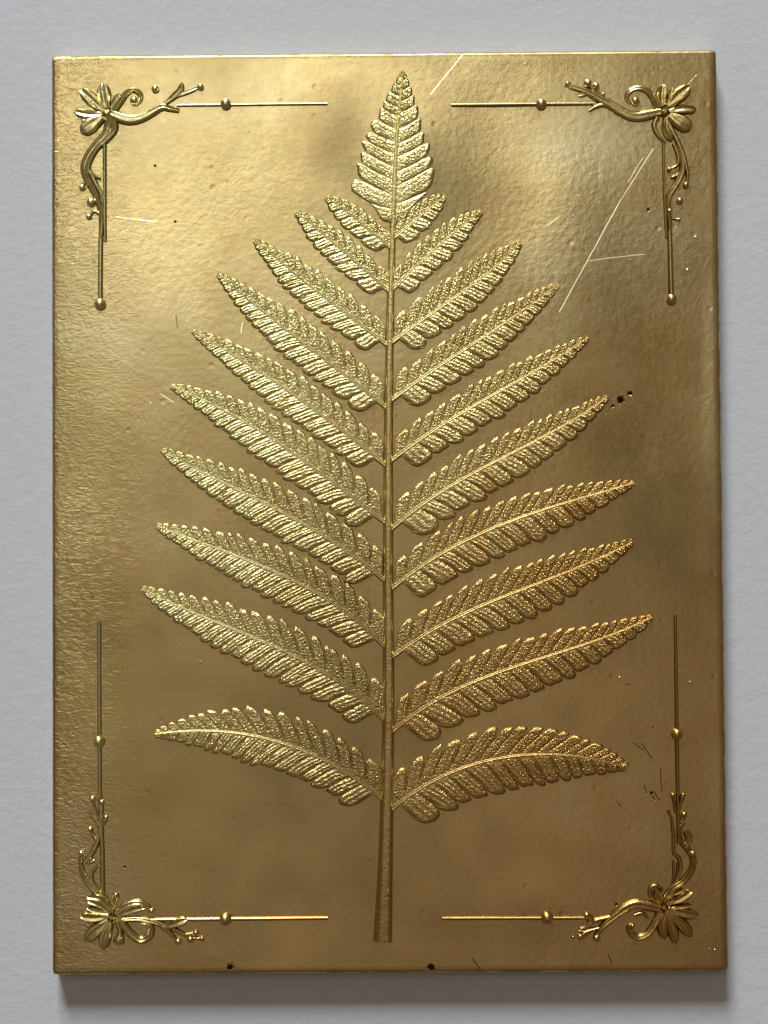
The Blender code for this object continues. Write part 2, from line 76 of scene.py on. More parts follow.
# Clouds of the face, pale (up to 1) or dark (down to -1), partly worn and tarnished brass and partly painted
# reflection and painted shade: x, y, radii, strength
FACE_TARNISH_AND_REFLECTION = [
    (-9, 84, 8, 14, -0.7), (9, 75, 10, 13, -0.9), (31, 69, 6, 9, -0.3), (24, 54, 7, 8, -0.3),
    (46, 82, 14, 9, 1.0), (40, 55, 12, 14, 0.5), (72.5, 14, 3.2, 44, 0.55), (61, -4, 13, 24, -0.5),
    (-66, -26, 18, 12, -0.35), (-51, -5, 11, 6, 0.3), (-12, -58, 27, 34, -0.4), (-67, -85, 10, 18, 0.35),
    (30, -93, 24, 6, -0.25), (-58, 42, 20, 19, 0.35), (-34, 91, 34, 9, 0.25), (-67, 16, 9, 10, -0.15),
    (4, 46, 26, 13, 0.3), (60, 56, 12, 16, 0.45),
]
WAVE_SIZE = 17.0
WAVE_HEIGHT = 0.07
RIPPLE_SIZE = 5.0
RIPPLE_HEIGHT = 0.012
MOTTLE_SIZE = 9.0
MOTTLE_STRENGTH = 0.22
FLAT_BORDER = 3.0


def patch_sum(patches, x, y):
    """Sum at a place of soft round patches, each with its middle, its radii and its strength."""
    return sum(strength * math.exp(-((x - middle_x) / wide) ** 2 - ((y - middle_y) / tall) ** 2)
               for middle_x, middle_y, wide, tall, strength in patches)


def lumps_at(x, y, size, layer):
    """Soft noise with lumps of a size in mm; each layer is a pattern of its own."""
    return noise.noise(Vector((x / size, y / size, layer)))


def face_height(x, y):
    """How far the plate's face rises at a place on it, in mm."""
    waves = WAVE_HEIGHT * lumps_at(x, y, WAVE_SIZE, 3.1) + RIPPLE_HEIGHT * lumps_at(x, y, RIPPLE_SIZE, 7.7)
    return patch_sum(FACE_SWELLINGS, x, y) + waves


def tarnish_and_reflection_tone(x, y):
    """How pale or dark the face is painted at a place, from -1 to 1: partly tarnish and wear, partly painted
    reflection and painted shade.
    """
    tone = patch_sum(FACE_TARNISH_AND_REFLECTION, x, y) + MOTTLE_STRENGTH * lumps_at(x, y, MOTTLE_SIZE, 1.7)
    return max(-1.0, min(1.0, tone))


def flatten_at_edges(x, y):
    """1 over the middle of the plate, falling to 0 where the face meets the rounded edge."""
    to_edge = min(PLATE_WIDTH / 2 - PLATE_ROUND - abs(x), PLATE_HEIGHT / 2 - PLATE_ROUND - abs(y))
    return min(1.0, max(0.0, to_edge / FLAT_BORDER))


def mesh_places(mesh):
    places = np.empty(len(mesh.vertices) * 3)
    mesh.vertices.foreach_get("co", places)
    return places.reshape(-1, 3)


def put_places(mesh, places):
    mesh.vertices.foreach_set("co", places.astype(np.float32).ravel())
    mesh.update()


def make_plate():
    """The plate from a fine grid: its border is drawn out and down in steps and closed below."""
    bpy.ops.object.select_all(action="DESELECT")
    bpy.ops.mesh.primitive_grid_add(x_subdivisions=FACE_CELLS[0], y_subdivisions=FACE_CELLS[1], size=1)
    plate = bpy.context.object
    plate.name = "plate_cast_brass"
    flat = (PLATE_WIDTH - 2 * PLATE_ROUND, PLATE_HEIGHT - 2 * PLATE_ROUND)
    bpy.ops.object.mode_set(mode="EDIT")
    bpy.ops.transform.resize(value=(flat[0], flat[1], 1))
    bpy.ops.transform.translate(value=(0, 0, PLATE_FACE))
    bpy.ops.mesh.region_to_loop()
    wide, tall, level = flat[0], flat[1], PLATE_FACE
    turns = [math.radians(90) * step / EDGE_STEPS for step in range(1, EDGE_STEPS + 1)]
    rings = [(PLATE_ROUND * math.sin(turn), PLATE_FACE - PLATE_ROUND * (1 - math.cos(turn)))
             for turn in turns]
    rings += [(out, PLATE_FACE - up) for out, up in reversed(rings)]
    rings.append((0, 0))
    for out, up in rings:
        new_wide, new_tall = flat[0] + 2 * out, flat[1] + 2 * out
        bpy.ops.mesh.extrude_region_move(TRANSFORM_OT_translate={"value": (0, 0, up - level)})
        bpy.ops.transform.resize(value=(new_wide / wide, new_tall / tall, 1), center_override=(0, 0, up))
        wide, tall, level = new_wide, new_tall, up
    bpy.ops.mesh.edge_face_add()
    bpy.ops.mesh.select_all(action="SELECT")
    bpy.ops.mesh.normals_make_consistent(inside=False)
    bpy.ops.object.mode_set(mode="OBJECT")
    places = mesh_places(plate.data)
    inner = np.array((PLATE_WIDTH / 2 - PLATE_CORNER, PLATE_HEIGHT / 2 - PLATE_CORNER))
    for place in places:
        x, y, z = place
        if z > PLATE_FACE - 0.001:
            place[2] += face_height(x, y) * flatten_at_edges(x, y)
        over = np.abs(place[:2]) - inner
        if over.min() > 0:
            rounded = over * over.max() / math.hypot(over[0], over[1])
            place[:2] = np.sign(place[:2]) * (inner + rounded)
    put_places(plate.data, places * MM)
    tones = plate.data.attributes.new("tarnish_and_reflection_tone", "FLOAT", "POINT")
    tones.data.foreach_set("value", [tarnish_and_reflection_tone(x, y) for x, y, z in places])
    return plate


class NodeBench:
    """Puts nodes in a tree by kind and links them, so that a finish reads from top to bottom."""

    def __init__(self, tree):
        self.tree = tree

    def add(self, kind, inputs=None, **settings):
        node = self.tree.nodes.new(kind)
        for key, value in settings.items():
            setattr(node, key, value)
        for key, value in (inputs or {}).items():
            self.join(value, node.inputs[key])
        return node

    def join(self, value, socket):
        if isinstance(value, bpy.types.NodeSocket):
            self.tree.links.new(value, socket)
        else:
            socket.default_value = value

    def math(self, operation, *values, clamp=False):
        node = self.add("ShaderNodeMath", operation=operation, use_clamp=clamp)
        for place, value in enumerate(values):
            self.join(value, node.inputs[place])
        return node.outputs[0]

    def vector(self, operation, *values):
        """Vector arithmetic; a dot product or a distance gives a number."""
        node = self.add("ShaderNodeVectorMath", operation=operation)
        for place, value in enumerate(values):
            self.join(value, node.inputs["Scale" if operation == "SCALE" and place else place])
        return node.outputs["Value" if operation in ("DOT_PRODUCT", "DISTANCE") else "Vector"]

    def span(self, value, low, high, to_low=0.0, to_high=1.0):
        """Map a value from one range to another, held at both ends."""
        node = self.add("ShaderNodeMapRange", {"Value": value, "From Min": low, "From Max": high,
                                               "To Min": to_low, "To Max": to_high})
        return node.outputs["Result"]

    def mix(self, share, first, second):
        node = self.add("ShaderNodeMix", data_type="RGBA")
        self.join(share, node.inputs["Factor"])
        self.join(first, node.inputs["A"])
        self.join(second, node.inputs["B"])
        return node.outputs["Result"]

    def noise(self, vector, size, detail=2.0, rough=0.5, distortion=0.0):
        """Noise whose lumps are about the given size, in mm."""
        node = self.add("ShaderNodeTexNoise", {"Vector": vector, "Scale": 1 / (size * MM), "Detail": detail,
                                               "Roughness": rough, "Distortion": distortion})
        return node.outputs["Fac"]

    def coat(self, base, layers):
        """Lay colours over a base one after another, each through its mask at its strength."""
        for mask, strength, colour in layers:
            base = self.mix(self.math("MULTIPLY", mask, strength), base, colour)
        return base

    def bump(self, height, distance, strength, normal=None):
        """The normal bent by a height, over a distance in mm, on top of an earlier one."""
        inputs = {"Height": height, "Distance": distance * MM, "Strength": strength}
        if normal is not None:
            inputs["Normal"] = normal
        return self.add("ShaderNodeBump", inputs).outputs[0]


def start_group(name, inputs, outputs):
    """A shader node group with named sockets; gives its bench, its input and its output node."""
    tree = bpy.data.node_groups.new(name, "ShaderNodeTree")
    for way, sockets in (("INPUT", inputs), ("OUTPUT", outputs)):
        for socket, kind in sockets.items():
            tree.interface.new_socket(socket, in_out=way, socket_type="NodeSocket" + kind)
    bench = NodeBench(tree)
    return bench, bench.add("NodeGroupInput").outputs, bench.add("NodeGroupOutput").inputs


def make_cast_skin():
    """Grain of a cast face: fine lumps, with sparse small pits among them."""
    bench, given, out = start_group(
        "Cast skin", {"Vector": "Vector", "Lumps per Metre": "Float", "Pits per Metre": "Float"},
        {"Height": "Float", "Pits": "Float"})
    lumps = bench.add("ShaderNodeTexNoise", {"Vector": given["Vector"], "Scale": given["Lumps per Metre"],
                                             "Detail": 3.0, "Roughness": 0.55})
    cells = bench.add("ShaderNodeTexVoronoi", {"Vector": given["Vector"], "Scale": given["Pits per Metre"]})
    pit = bench.span(cells.outputs["Distance"], 0.08, 0.2, 1.0, 0.0)
    chosen = bench.add("ShaderNodeSeparateColor", {"Color": cells.outputs["Color"]})
    sparse = bench.math("GREATER_THAN", chosen.outputs[0], 0.82)
    pits = bench.math("MULTIPLY", pit, sparse)
    deep = bench.math("MULTIPLY", pits, 0.6)
    bench.join(bench.math("SUBTRACT", lumps.outputs["Fac"], deep), out["Height"])
    bench.join(pits, out["Pits"])
    return bench.tree


def make_tarnish():
    """Two masks of aged brass: broad brown clouds, and smaller reddish and olive stains."""
    bench, given, out = start_group("Tarnish", {"Vector": "Vector"}, {"Clouds": "Float", "Stains": "Float"})
    clouds = bench.noise(given["Vector"], 42, 3.0, 0.55, 0.4)
    stains = bench.noise(given["Vector"], 13, 4.0, 0.6, 0.8)
    bench.join(bench.span(clouds, 0.38, 0.66), out["Clouds"])
    bench.join(bench.span(stains, 0.5, 0.72), out["Stains"])
    return bench.tree


def make_scratch():
    """Mask of one straight scratch between two places, 1 on its line and 0 beside it."""
    bench, given, out = start_group(
        "Scratch", {"Vector": "Vector", "Start": "Vector", "Run": "Vector", "Width": "Float"},
        {"Mask": "Float"})
    wobble = bench.noise(given["Vector"], 4, 1.0)
    shift = bench.math("MULTIPLY", bench.math("SUBTRACT", wobble, 0.5), 0.5 * MM)
    sway = bench.add("ShaderNodeCombineXYZ", {"X": shift, "Y": shift}).outputs[0]
    flat = bench.vector("MULTIPLY", bench.vector("ADD", given["Vector"], sway), (1, 1, 0))
    away = bench.vector("SUBTRACT", flat, given["Start"])
    along = bench.vector("DOT_PRODUCT", away, given["Run"])
    length = bench.vector("DOT_PRODUCT", given["Run"], given["Run"])
    share = bench.math("DIVIDE", along, length, clamp=True)
    gap = bench.vector("DISTANCE", away, bench.vector("SCALE", given["Run"], share))
    near = bench.math("DIVIDE", gap, given["Width"])
    bench.join(bench.math("SUBTRACT", 1.0, near, clamp=True), out["Mask"])
    return bench.tree


def make_spot():
    """Mask of one small ragged spot: 1 in its middle and 0 outside."""
    bench, given, out = start_group(
        "Spot", {"Vector": "Vector", "Middle": "Vector", "Radius": "Float"}, {"Mask": "Float"})
    gap = bench.vector("DISTANCE", bench.vector("MULTIPLY", given["Vector"], (1, 1, 0)), given["Middle"])
    ragged = bench.span(bench.noise(given["Vector"], 0.7, 2.0), 0.3, 0.7, 0.55, 1.35)
    near = bench.math("DIVIDE", gap, bench.math("MULTIPLY", given["Radius"], ragged))
    bench.join(bench.span(near, 0.55, 1.0, 1.0, 0.0), out["Mask"])
    return bench.tree


cast_skin = make_cast_skin()
tarnish = make_tarnish()
scratch = make_scratch()
spot = make_spot()

# Scratches of the face: where each starts and ends, and its half width, in mm
SCRATCHES = [
    ((52.8, 68.7), (39.0, 44.0), 0.09), ((60.3, 80.4), (52.8, 68.7), 0.07),
    ((18.0, 102.6), (10.6, 93.5), 0.09), ((45.1, 55.3), (58.3, 56.9), 0.045),
    ((-60.6, 66.3), (-51.2, 65.0), 0.07), ((-50.7, 26.2), (-47.6, 24.4), 0.08),
    ((-32.1, 42.2), (-32.5, 39.7), 0.07), ((58.1, 78.6), (54.7, 73.1), 0.06),
    ((67.9, 94.7), (70.4, 97.3), 0.06), ((36.6, 63.5), (39.0, 65.3), 0.06),
]
# Short dark cuts, given in the same way
DARK_CUTS = [
    ((54.4, -52.4), (56.8, -54.2), 0.1), ((56.3, -52.6), (58.8, -55.9), 0.11),
    ((60.4, -58.3), (60.7, -63.2), 0.09), ((56.8, -61.8), (57.4, -63.6), 0.11),
    ((58.2, -63.1), (59.2, -65.0), 0.14), ((59.2, -63.3), (60.2, -65.0), 0.11),
    ((50.6, -65.4), (51.6, -66.5), 0.09), ((48.3, -99.1), (49.2, -101.3), 0.1),
    ((18.2, -99.8), (20.1, -102.3), 0.11), ((53.0, -39.3), (54.0, -39.7), 0.1),
    ((-47.0, 44.0), (-46.6, 41.0), 0.07),
]
# Dark pits and specks, and bright specks: place and radius in mm
DARK_SPOTS = [
    ((-35.4, -101.5), 1.0), ((9.2, -101.7), 0.9), ((52.6, 24.1), 1.1), ((54.6, 25.6), 0.7),
    ((50.8, 22.7), 0.5), ((-51.6, 77.7), 0.35), ((59.2, 66.9), 0.4), ((50.2, -88.1), 0.4),
    ((-58.8, -79.2), 0.35), ((-47.1, 65.0), 0.3), ((58.4, -63.6), 0.4), ((58.9, -49.0), 0.25),
]
BRIGHT_SPOTS = [
    ((-41.7, -33.8), 0.35), ((-10.1, -58.6), 0.3), ((42.6, 65.5), 0.35), ((69.9, 60.5), 0.45),
    ((67.9, 53.1), 0.3), ((64.8, 43.2), 0.3), ((-52.8, 24.0), 0.3), ((70.7, -98.1), 0.25),
    ((72.0, -98.3), 0.2), ((70.4, -100.4), 0.25), ((67.2, -39.1), 0.3), ((51.6, -38.0), 0.3),
    ((38.9, -83.1), 0.2),
]

PLATE_BRIGHT = (0.83, 0.67, 0.31, 1)
PLATE_STAIN_AND_SHADE_BROWN = (0.74, 0.475, 0.205, 1)
PLATE_OLIVE = (0.62, 0.50, 0.20, 1)
PLATE_PALE = (1.0, 0.89, 0.52, 1)
PLATE_SHADE = (0.20, 0.15, 0.07, 1)
PIT_DARK = (0.035, 0.022, 0.012, 1)
SCRATCH_PALE = (1.0, 0.93, 0.55, 1)
SPECK_WHITE = (0.9, 0.86, 0.75, 1)
# The raised burr of a scratch leans towards the head of the plate, where the light comes from
SCRATCH_LEAN = (-0.05, 0.38, 0)
# How far past the flat of the face the painted shade and roughening of the rounded edge begins, and is full,
# in mm
EDGE_PAINTED_SHADE = (0.05, 0.25)
# Wrinkles of the face: streaky folds, strongest near the left edge and the head
FOLD_SIZE = 1.5
FOLD_SLANT = 38
FOLD_DEPTH = 0.16


def start_material(name):
    material = bpy.data.materials.new(name)
    material.use_nodes = True
    bench = NodeBench(material.node_tree)
    shader = material.node_tree.nodes["Principled BSDF"]
    shader.inputs["Metallic"].default_value = 1.0
    place = bench.add("ShaderNodeTexCoord").outputs["Object"]
    return material, bench, shader, place


def use_group(bench, tree, inputs):
    node = bench.add("ShaderNodeGroup", node_tree=tree)
    for key, value in inputs.items():
        bench.join(value, node.inputs[key])
    return node.outputs


def on_plate(x, y):
    return (x * MM, y * MM, 0)


def all_marks(bench, tree, marks):
    """One mask of many scratches or spots: the strongest of them at each place."""
    total = 0.0
    for mark in marks:
        total = bench.math("MAXIMUM", total, use_group(bench, tree, mark)["Mask"])
    return total


def all_scratches(bench, place, lines):
    return all_marks(bench, scratch, [
        {"Vector": place, "Start": on_plate(*start), "Run": on_plate(end[0] - start[0], end[1] - start[1]),
         "Width": width * MM} for start, end, width in lines])


def all_spots(bench, place, spots):
    return all_marks(bench, spot, [{"Vector": place, "Middle": on_plate(*middle), "Radius": radius * MM}
                                   for middle, radius in spots])


def make_plate_brass():
    """Plain brass face: clouds that are partly tarnish and partly painted reflection and shade, painted shade
    towards the bottom right and on the rounded edge, orange-peel grain, wrinkles, scratches and specks.
    """
    material, bench, shader, place = start_material("plate_brass")
    masks = use_group(bench, tarnish, {"Vector": place})
    skin = use_group(bench, cast_skin, {"Vector": place, "Lumps per Metre": 700.0, "Pits per Metre": 260.0})
    scratches = all_scratches(bench, place, SCRATCHES)
    dark = bench.math("MAXIMUM", all_spots(bench, place, DARK_SPOTS), all_scratches(bench, place, DARK_CUTS))
    bright = all_spots(bench, place, BRIGHT_SPOTS)
    sides = bench.add("ShaderNodeSeparateXYZ", {"Vector": place}).outputs
    # Painted shade: the face is painted browner and darker towards the bottom right, away from the light
    foot = bench.span(bench.math("SUBTRACT", sides["Y"], sides["X"]), 60 * MM, -120 * MM)
    tone = bench.add("ShaderNodeAttribute", attribute_name="tarnish_and_reflection_tone").outputs["Fac"]
    # Painted shade on the rounded edge, broken up by noise, darkens it where it would catch the light; the
    # edge is made rougher too
    past = [bench.math("SUBTRACT", bench.math("ABSOLUTE", sides[axis]), (size / 2 - PLATE_ROUND) * MM)
            for axis, size in (("X", PLATE_WIDTH), ("Y", PLATE_HEIGHT))]
    edge = bench.span(bench.math("MAXIMUM", *past), EDGE_PAINTED_SHADE[0] * MM, EDGE_PAINTED_SHADE[1] * MM)
    edge = bench.math("MULTIPLY", edge, bench.span(bench.noise(place, 4, 3.0), 0.42, 0.58, 0.4, 1.0))
    base = bench.coat(PLATE_BRIGHT, [
        (masks["Clouds"], 0.6, PLATE_OLIVE), (foot, 0.75, PLATE_STAIN_AND_SHADE_BROWN), (masks["Stains"], 0.4, PLATE_STAIN_AND_SHADE_BROWN),
        # The tone layers are partly tarnish and wear, partly painted reflection and painted shade
        (skin["Pits"], 0.5, PLATE_STAIN_AND_SHADE_BROWN), (bench.span(tone, 0, 1), 1.0, PLATE_PALE),
        (bench.span(tone, 0, -1), 0.8, PLATE_SHADE), (edge, 0.7, PLATE_SHADE),
        (scratches, 0.95, SCRATCH_PALE), (dark, 1.0, PIT_DARK), (bright, 1.0, SPECK_WHITE)])
    bench.join(base, shader.inputs["Base Color"])
    cloudy = bench.span(masks["Clouds"], 0, 1, 0.20, 0.27)
    grainy = bench.math("MULTIPLY", bench.noise(place, 2.2, 2.0), 0.08)
    added_roughness = bench.math("MAXIMUM", bench.math("MULTIPLY", scratches, 0.1), bench.math("MULTIPLY", edge, 0.25))
    bench.join(bench.math("ADD", bench.math("ADD", cloudy, grainy), added_roughness), shader.inputs["Roughness"])
    stretched = bench.add("ShaderNodeMapping", {"Vector": place, "Rotation": (0, 0, math.radians(FOLD_SLANT)),
                                                "Scale": (0.5, 1.0, 1.0)}).outputs[0]
    near_left = bench.span(sides["X"], -75 * MM, -52 * MM, 1.0, 0.05)
    near_head = bench.span(sides["Y"], 60 * MM, 103 * MM, 0.0, 0.12)
    folds = bench.math("MULTIPLY", bench.noise(stretched, FOLD_SIZE, 3.0, 0.5, 2.4),
                       bench.math("MAXIMUM", near_left, near_head))
    normal = bench.bump(skin["Height"], 0.06, 0.7)
    normal = bench.bump(folds, FOLD_DEPTH, 0.8, normal)
    normal = bench.bump(bench.math("SUBTRACT", bright, dark), 0.10, 1.0, normal)
    normal = bench.vector("ADD", normal, bench.vector("SCALE", SCRATCH_LEAN, scratches))
    bench.join(bench.vector("NORMALIZE", normal), shader.inputs["Normal"])
    return material


plate = make_plate()
plate.data.materials.append(make_plate_brass())
bpy.ops.object.shade_smooth_by_angle(angle=math.radians(40))
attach(plate, "root")
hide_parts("plate")

# Frond: stem and rachis
# A real frond pressed in the mould and cast in brass with the plate: the stalk comes up from a
# cut end, flat with a groove between two ridges, and thins out to the tip of the frond.
SUNK = 0.5
# Middle of the stem and rachis from the cut end to the tip, with its width, in mm
RACHIS = [
    ((-1.6, -95.8), 3.7), ((-1.0, -82.1), 2.9), ((-0.4, -63.3), 2.4), ((0.1, -40.6), 2.2),
    ((0.2, -15.8), 1.9), ((0.5, 17.1), 1.6), ((1.1, 45.1), 1.4), ((1.9, 65.2), 1.2),
    ((2.8, 83.3), 0.9), ((4.3, 98.5), 0.6),
]
STEM_ROWS = 460
STEM_CRINKLE = 0.05
STEM_EDGE_RIDGE = 0.24
STEM_MIDDLE_RIDGE = 0.08
STEM_ROUNDING = 0.45
RACHIS_TOP = ((0.0, 1.7), (0.3, 1.3), (0.6, 1.15), (1.0, 0.85))
WALL_DRAFT = 0.36


def blank_strip(columns, rows):
    """A closed bar with a gridded top, from which every relief shape is bent: it runs along Y
    from -1 to 1, its top at 1 and its flat underside at 0."""
    bpy.ops.object.select_all(action="DESELECT")
    bpy.ops.mesh.primitive_grid_add(x_subdivisions=columns, y_subdivisions=rows, size=2, location=(0, 0, 1))
    bpy.ops.object.transform_apply(location=True)
    bpy.ops.object.mode_set(mode="EDIT")
    bpy.ops.mesh.region_to_loop()
    bpy.ops.mesh.extrude_region_move(TRANSFORM_OT_translate={"value": (0, 0, -1)})
    bpy.ops.mesh.edge_face_add()
    bpy.ops.mesh.select_all(action="SELECT")
    bpy.ops.mesh.normals_make_consistent(inside=False)
    bpy.ops.object.mode_set(mode="OBJECT")
    blank = bpy.context.object
    mesh = blank.data
    bpy.data.objects.remove(blank)
    return mesh


def place_mesh(name, mesh):
    """Put a mesh in the scene as a new object."""
    piece = bpy.data.objects.new(name, mesh)
    bpy.context.collection.objects.link(piece)
    return piece


def headings(line):
    """Which way a line runs at each of its places, as steps of length 1."""
    steps = np.gradient(line, axis=0)
    return steps / np.linalg.norm(steps, axis=1)[:, None]


def bend_strip(blank, name, path, half_width, crest, crowding=1.0):
    """A copy of a blank laid along a path in mm. Half width and crest are functions of the share
    of the way along and of the place across, from -1 to 1; the crest is over the plate's face.
    Crowding gathers rows at the end."""
    piece = place_mesh(name, blank.copy())
    places = mesh_places(piece.data)
    across = np.sin(places[:, 0] * math.pi / 2)
    along = 1 - (1 - (places[:, 1] + 1) / 2) ** crowding
    raised = places[:, 2] > 0.5
    path = np.asarray(path, float)
    shares = np.linspace(0, 1, len(path))
    middle_x, middle_y, run_x, run_y = [np.interp(along, shares, values)
                                        for values in (*path.T, *headings(path).T)]
    reach = across * half_width(along, across) + np.where(raised, 0, np.sign(across) * WALL_DRAFT)
    places[:, 0] = middle_x + run_y * reach
    places[:, 1] = middle_y - run_x * reach
    places[:, 2] = np.where(raised, PLATE_FACE + crest(along, across), PLATE_FACE - SUNK)
    put_places(piece.data, places * MM)
    return piece


def join_pieces(name, parts, material):
    """Make one piece of its parts, giving the material to those that have none yet."""
    bpy.ops.object.select_all(action="DESELECT")
    for part in parts:
        if not part.data.materials:
            part.data.materials.append(material)
        part.select_set(True)
    bpy.context.view_layer.objects.active = parts[0]
    bpy.ops.object.join()
    parts[0].name = name
    parts[0].data.name = name
    return parts[0]


def finish_relief(piece, node):
    """Shade one relief piece smooth, hang it from the root body and hide the part it stands in for."""
    bpy.ops.object.select_all(action="DESELECT")
    piece.select_set(True)
    bpy.context.view_layer.objects.active = piece
    bpy.ops.object.shade_smooth_by_angle(angle=math.radians(50))
    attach(piece, "root")
    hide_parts(node)


def bump_at(value, middle, width):
    """A soft hump of height 1 round a middle."""
    return np.exp(-((value - middle) / width) ** 2)


RELIEF_BRIGHT = (1.0, 0.9, 0.43, 1)
RELIEF_PALE = (1.0, 0.94, 0.50, 1)
RELIEF_BROWN = (0.48, 0.36, 0.15, 1)
RELIEF_PITS_AND_SHADE = (0.085, 0.053, 0.022, 1)
RELIEF_STAIN_AND_SHADE = (0.64, 0.41, 0.135, 1)
# Levels over the plate's face up to which the relief is painted all dark as shade, and from which it has no
# painted shade
PAINTED_SHADE_LEVELS = (0.1, 0.68)


def make_relief_brass(name, lumps, grain_depth, roughness):
    """Cast brass of the relief, finely grained, with painted shade low down by the plate and towards the
    bottom right, which leaves the high places bright.
    """
    material, bench, shader, place = start_material(name)
    masks = use_group(bench, tarnish, {"Vector": place})
    skin = use_group(bench, cast_skin, {"Vector": place, "Lumps per Metre": lumps, "Pits per Metre": 900.0})
    sides = bench.add("ShaderNodeSeparateXYZ", {"Vector": place}).outputs
    dark_to, unshaded_from = [(PLATE_FACE + level) * MM for level in PAINTED_SHADE_LEVELS]
    # Painted shade: the relief is darkened low down near the plate, in its grooves and along its foot
    painted_hollow_shade = bench.span(sides["Z"], dark_to, unshaded_from, 1.0, 0.0)
    across = bench.math("MULTIPLY", sides["X"], 1.6)
    # Painted shade: the relief is painted warmer and darker towards the bottom right; real stains are mixed
    # into the same layer
    foot = bench.span(bench.math("SUBTRACT", sides["Y"], across), 70 * MM, -100 * MM)
    # On the left the outer leaflets are paler, and the lower ones browner beside the rachis
    outer = bench.span(sides["X"], -14 * MM, -34 * MM)
    inner = bench.math("MULTIPLY", bench.span(sides["X"], -30 * MM, -14 * MM),
                       bench.span(sides["X"], 3 * MM, -2 * MM))
    inner = bench.math("MULTIPLY", inner, bench.span(sides["Y"], 15 * MM, -20 * MM))
    stained = bench.math("MULTIPLY", masks["Stains"], 0.3)
    stains_and_shade = bench.math("ADD", stained, bench.math("MULTIPLY", foot, 0.95), clamp=True)
    base = bench.coat(RELIEF_BRIGHT, [
        (outer, 0.6, RELIEF_PALE), (stains_and_shade, 1.0, RELIEF_STAIN_AND_SHADE), (inner, 0.5, RELIEF_BROWN),
        (skin["Pits"], 0.5, RELIEF_PITS_AND_SHADE), (painted_hollow_shade, 0.85, RELIEF_PITS_AND_SHADE)])
    bench.join(base, shader.inputs["Base Color"])
    uneven = bench.math("MULTIPLY", bench.noise(place, 1.1, 2.0), 0.16)
    added_roughness = bench.math("MULTIPLY", painted_hollow_shade, 0.15)
    bench.join(bench.math("ADD", bench.math("ADD", uneven, added_roughness), roughness), shader.inputs["Roughness"])
    bench.join(bench.bump(skin["Height"], grain_depth, 0.8), shader.inputs["Normal"])
    return material


def smooth_line(knots, steps):
    """A smooth line through the given places, with even steps between each two."""
    knots = np.asarray(knots, float)
    ends = np.vstack([2 * knots[0] - knots[1], knots, 2 * knots[-1] - knots[-2]])
    line = []
    for before, start, end, after in zip(ends, ends[1:], ends[2:], ends[3:]):
        for share in np.linspace(0, 1, steps, endpoint=False):
            line.append(0.5 * (2 * start + (end - before) * share
                               + (2 * before - 5 * start + 4 * end - after) * share ** 2
                               + (3 * start - before - 3 * end + after) * share ** 3))
    line.append(knots[-1])
    return np.array(line)


def evenly(line, count):
    """The same line with its places evenly apart."""
    gaps = np.linalg.norm(np.diff(line, axis=0), axis=1)
    run = np.concatenate([[0], np.cumsum(gaps)])
    wanted = np.linspace(0, run[-1], count)
    return np.stack([np.interp(wanted, run, line[:, 0]), np.interp(wanted, run, line[:, 1])], 1)


frond_brass = make_relief_brass("frond_brass", 2300.0, 0.30, 0.22)
rib_brass = make_relief_brass("rib_brass", 1800.0, 0.14, 0.32)
rachis_line = evenly(smooth_line([place for place, width in RACHIS], 8), 120)
rachis_heights = [place[1] for place, width in RACHIS]
rachis_widths = [width for place, width in RACHIS]


def rachis_x(height):
    """Where the middle of the rachis lies at a height on the plate, in mm."""
    return float(np.interp(height, rachis_line[:, 1], rachis_line[:, 0]))


def rachis_half_width(along, across):
    heights = np.interp(along, np.linspace(0, 1, len(rachis_line)), rachis_line[:, 1])
    return np.interp(heights, rachis_heights, rachis_widths) / 2


crinkles = [random.Random(5 + side).choices((-1, -0.4, 0.2, 0.6, 1), k=STEM_ROWS + 1) for side in (0, 1)]


def rachis_crest(along, across):
    """Nearly flat, with a thin ridge along each side and a faint one in the middle, all crinkled."""
    top = np.interp(along, *zip(*RACHIS_TOP))
    ridges = STEM_EDGE_RIDGE * bump_at(np.abs(across), 0.74, 0.14)
    ridges += STEM_MIDDLE_RIDGE * bump_at(across, 0.1, 0.2)
    left, right = [np.interp(along, np.linspace(0, 1, STEM_ROWS + 1), rises) for rises in crinkles]
    crinkle = np.where(across < 0, left, right) * np.clip(np.abs(across) * 1.6, 0, 1)
    return top - STEM_ROUNDING * np.abs(across) ** 8 + ridges + STEM_CRINKLE * crinkle


long_strip = blank_strip(12, STEM_ROWS)
stem = bend_strip(long_strip, "stem_and_rachis", rachis_line, rachis_half_width, rachis_crest)
stem.data.materials.append(rib_brass)
finish_relief(stem, "fern_frond")

# Frond: leaflets
# Ten on each side, every one a thin blade on its own double-ridged rib, cut at its edge into
# blunt lobes with veins and rims; the upper lobes also carry two rows of small round bumps. A
# side of a leaflet is one fine strip whose rows run out along the lobes, shaped by formulas.

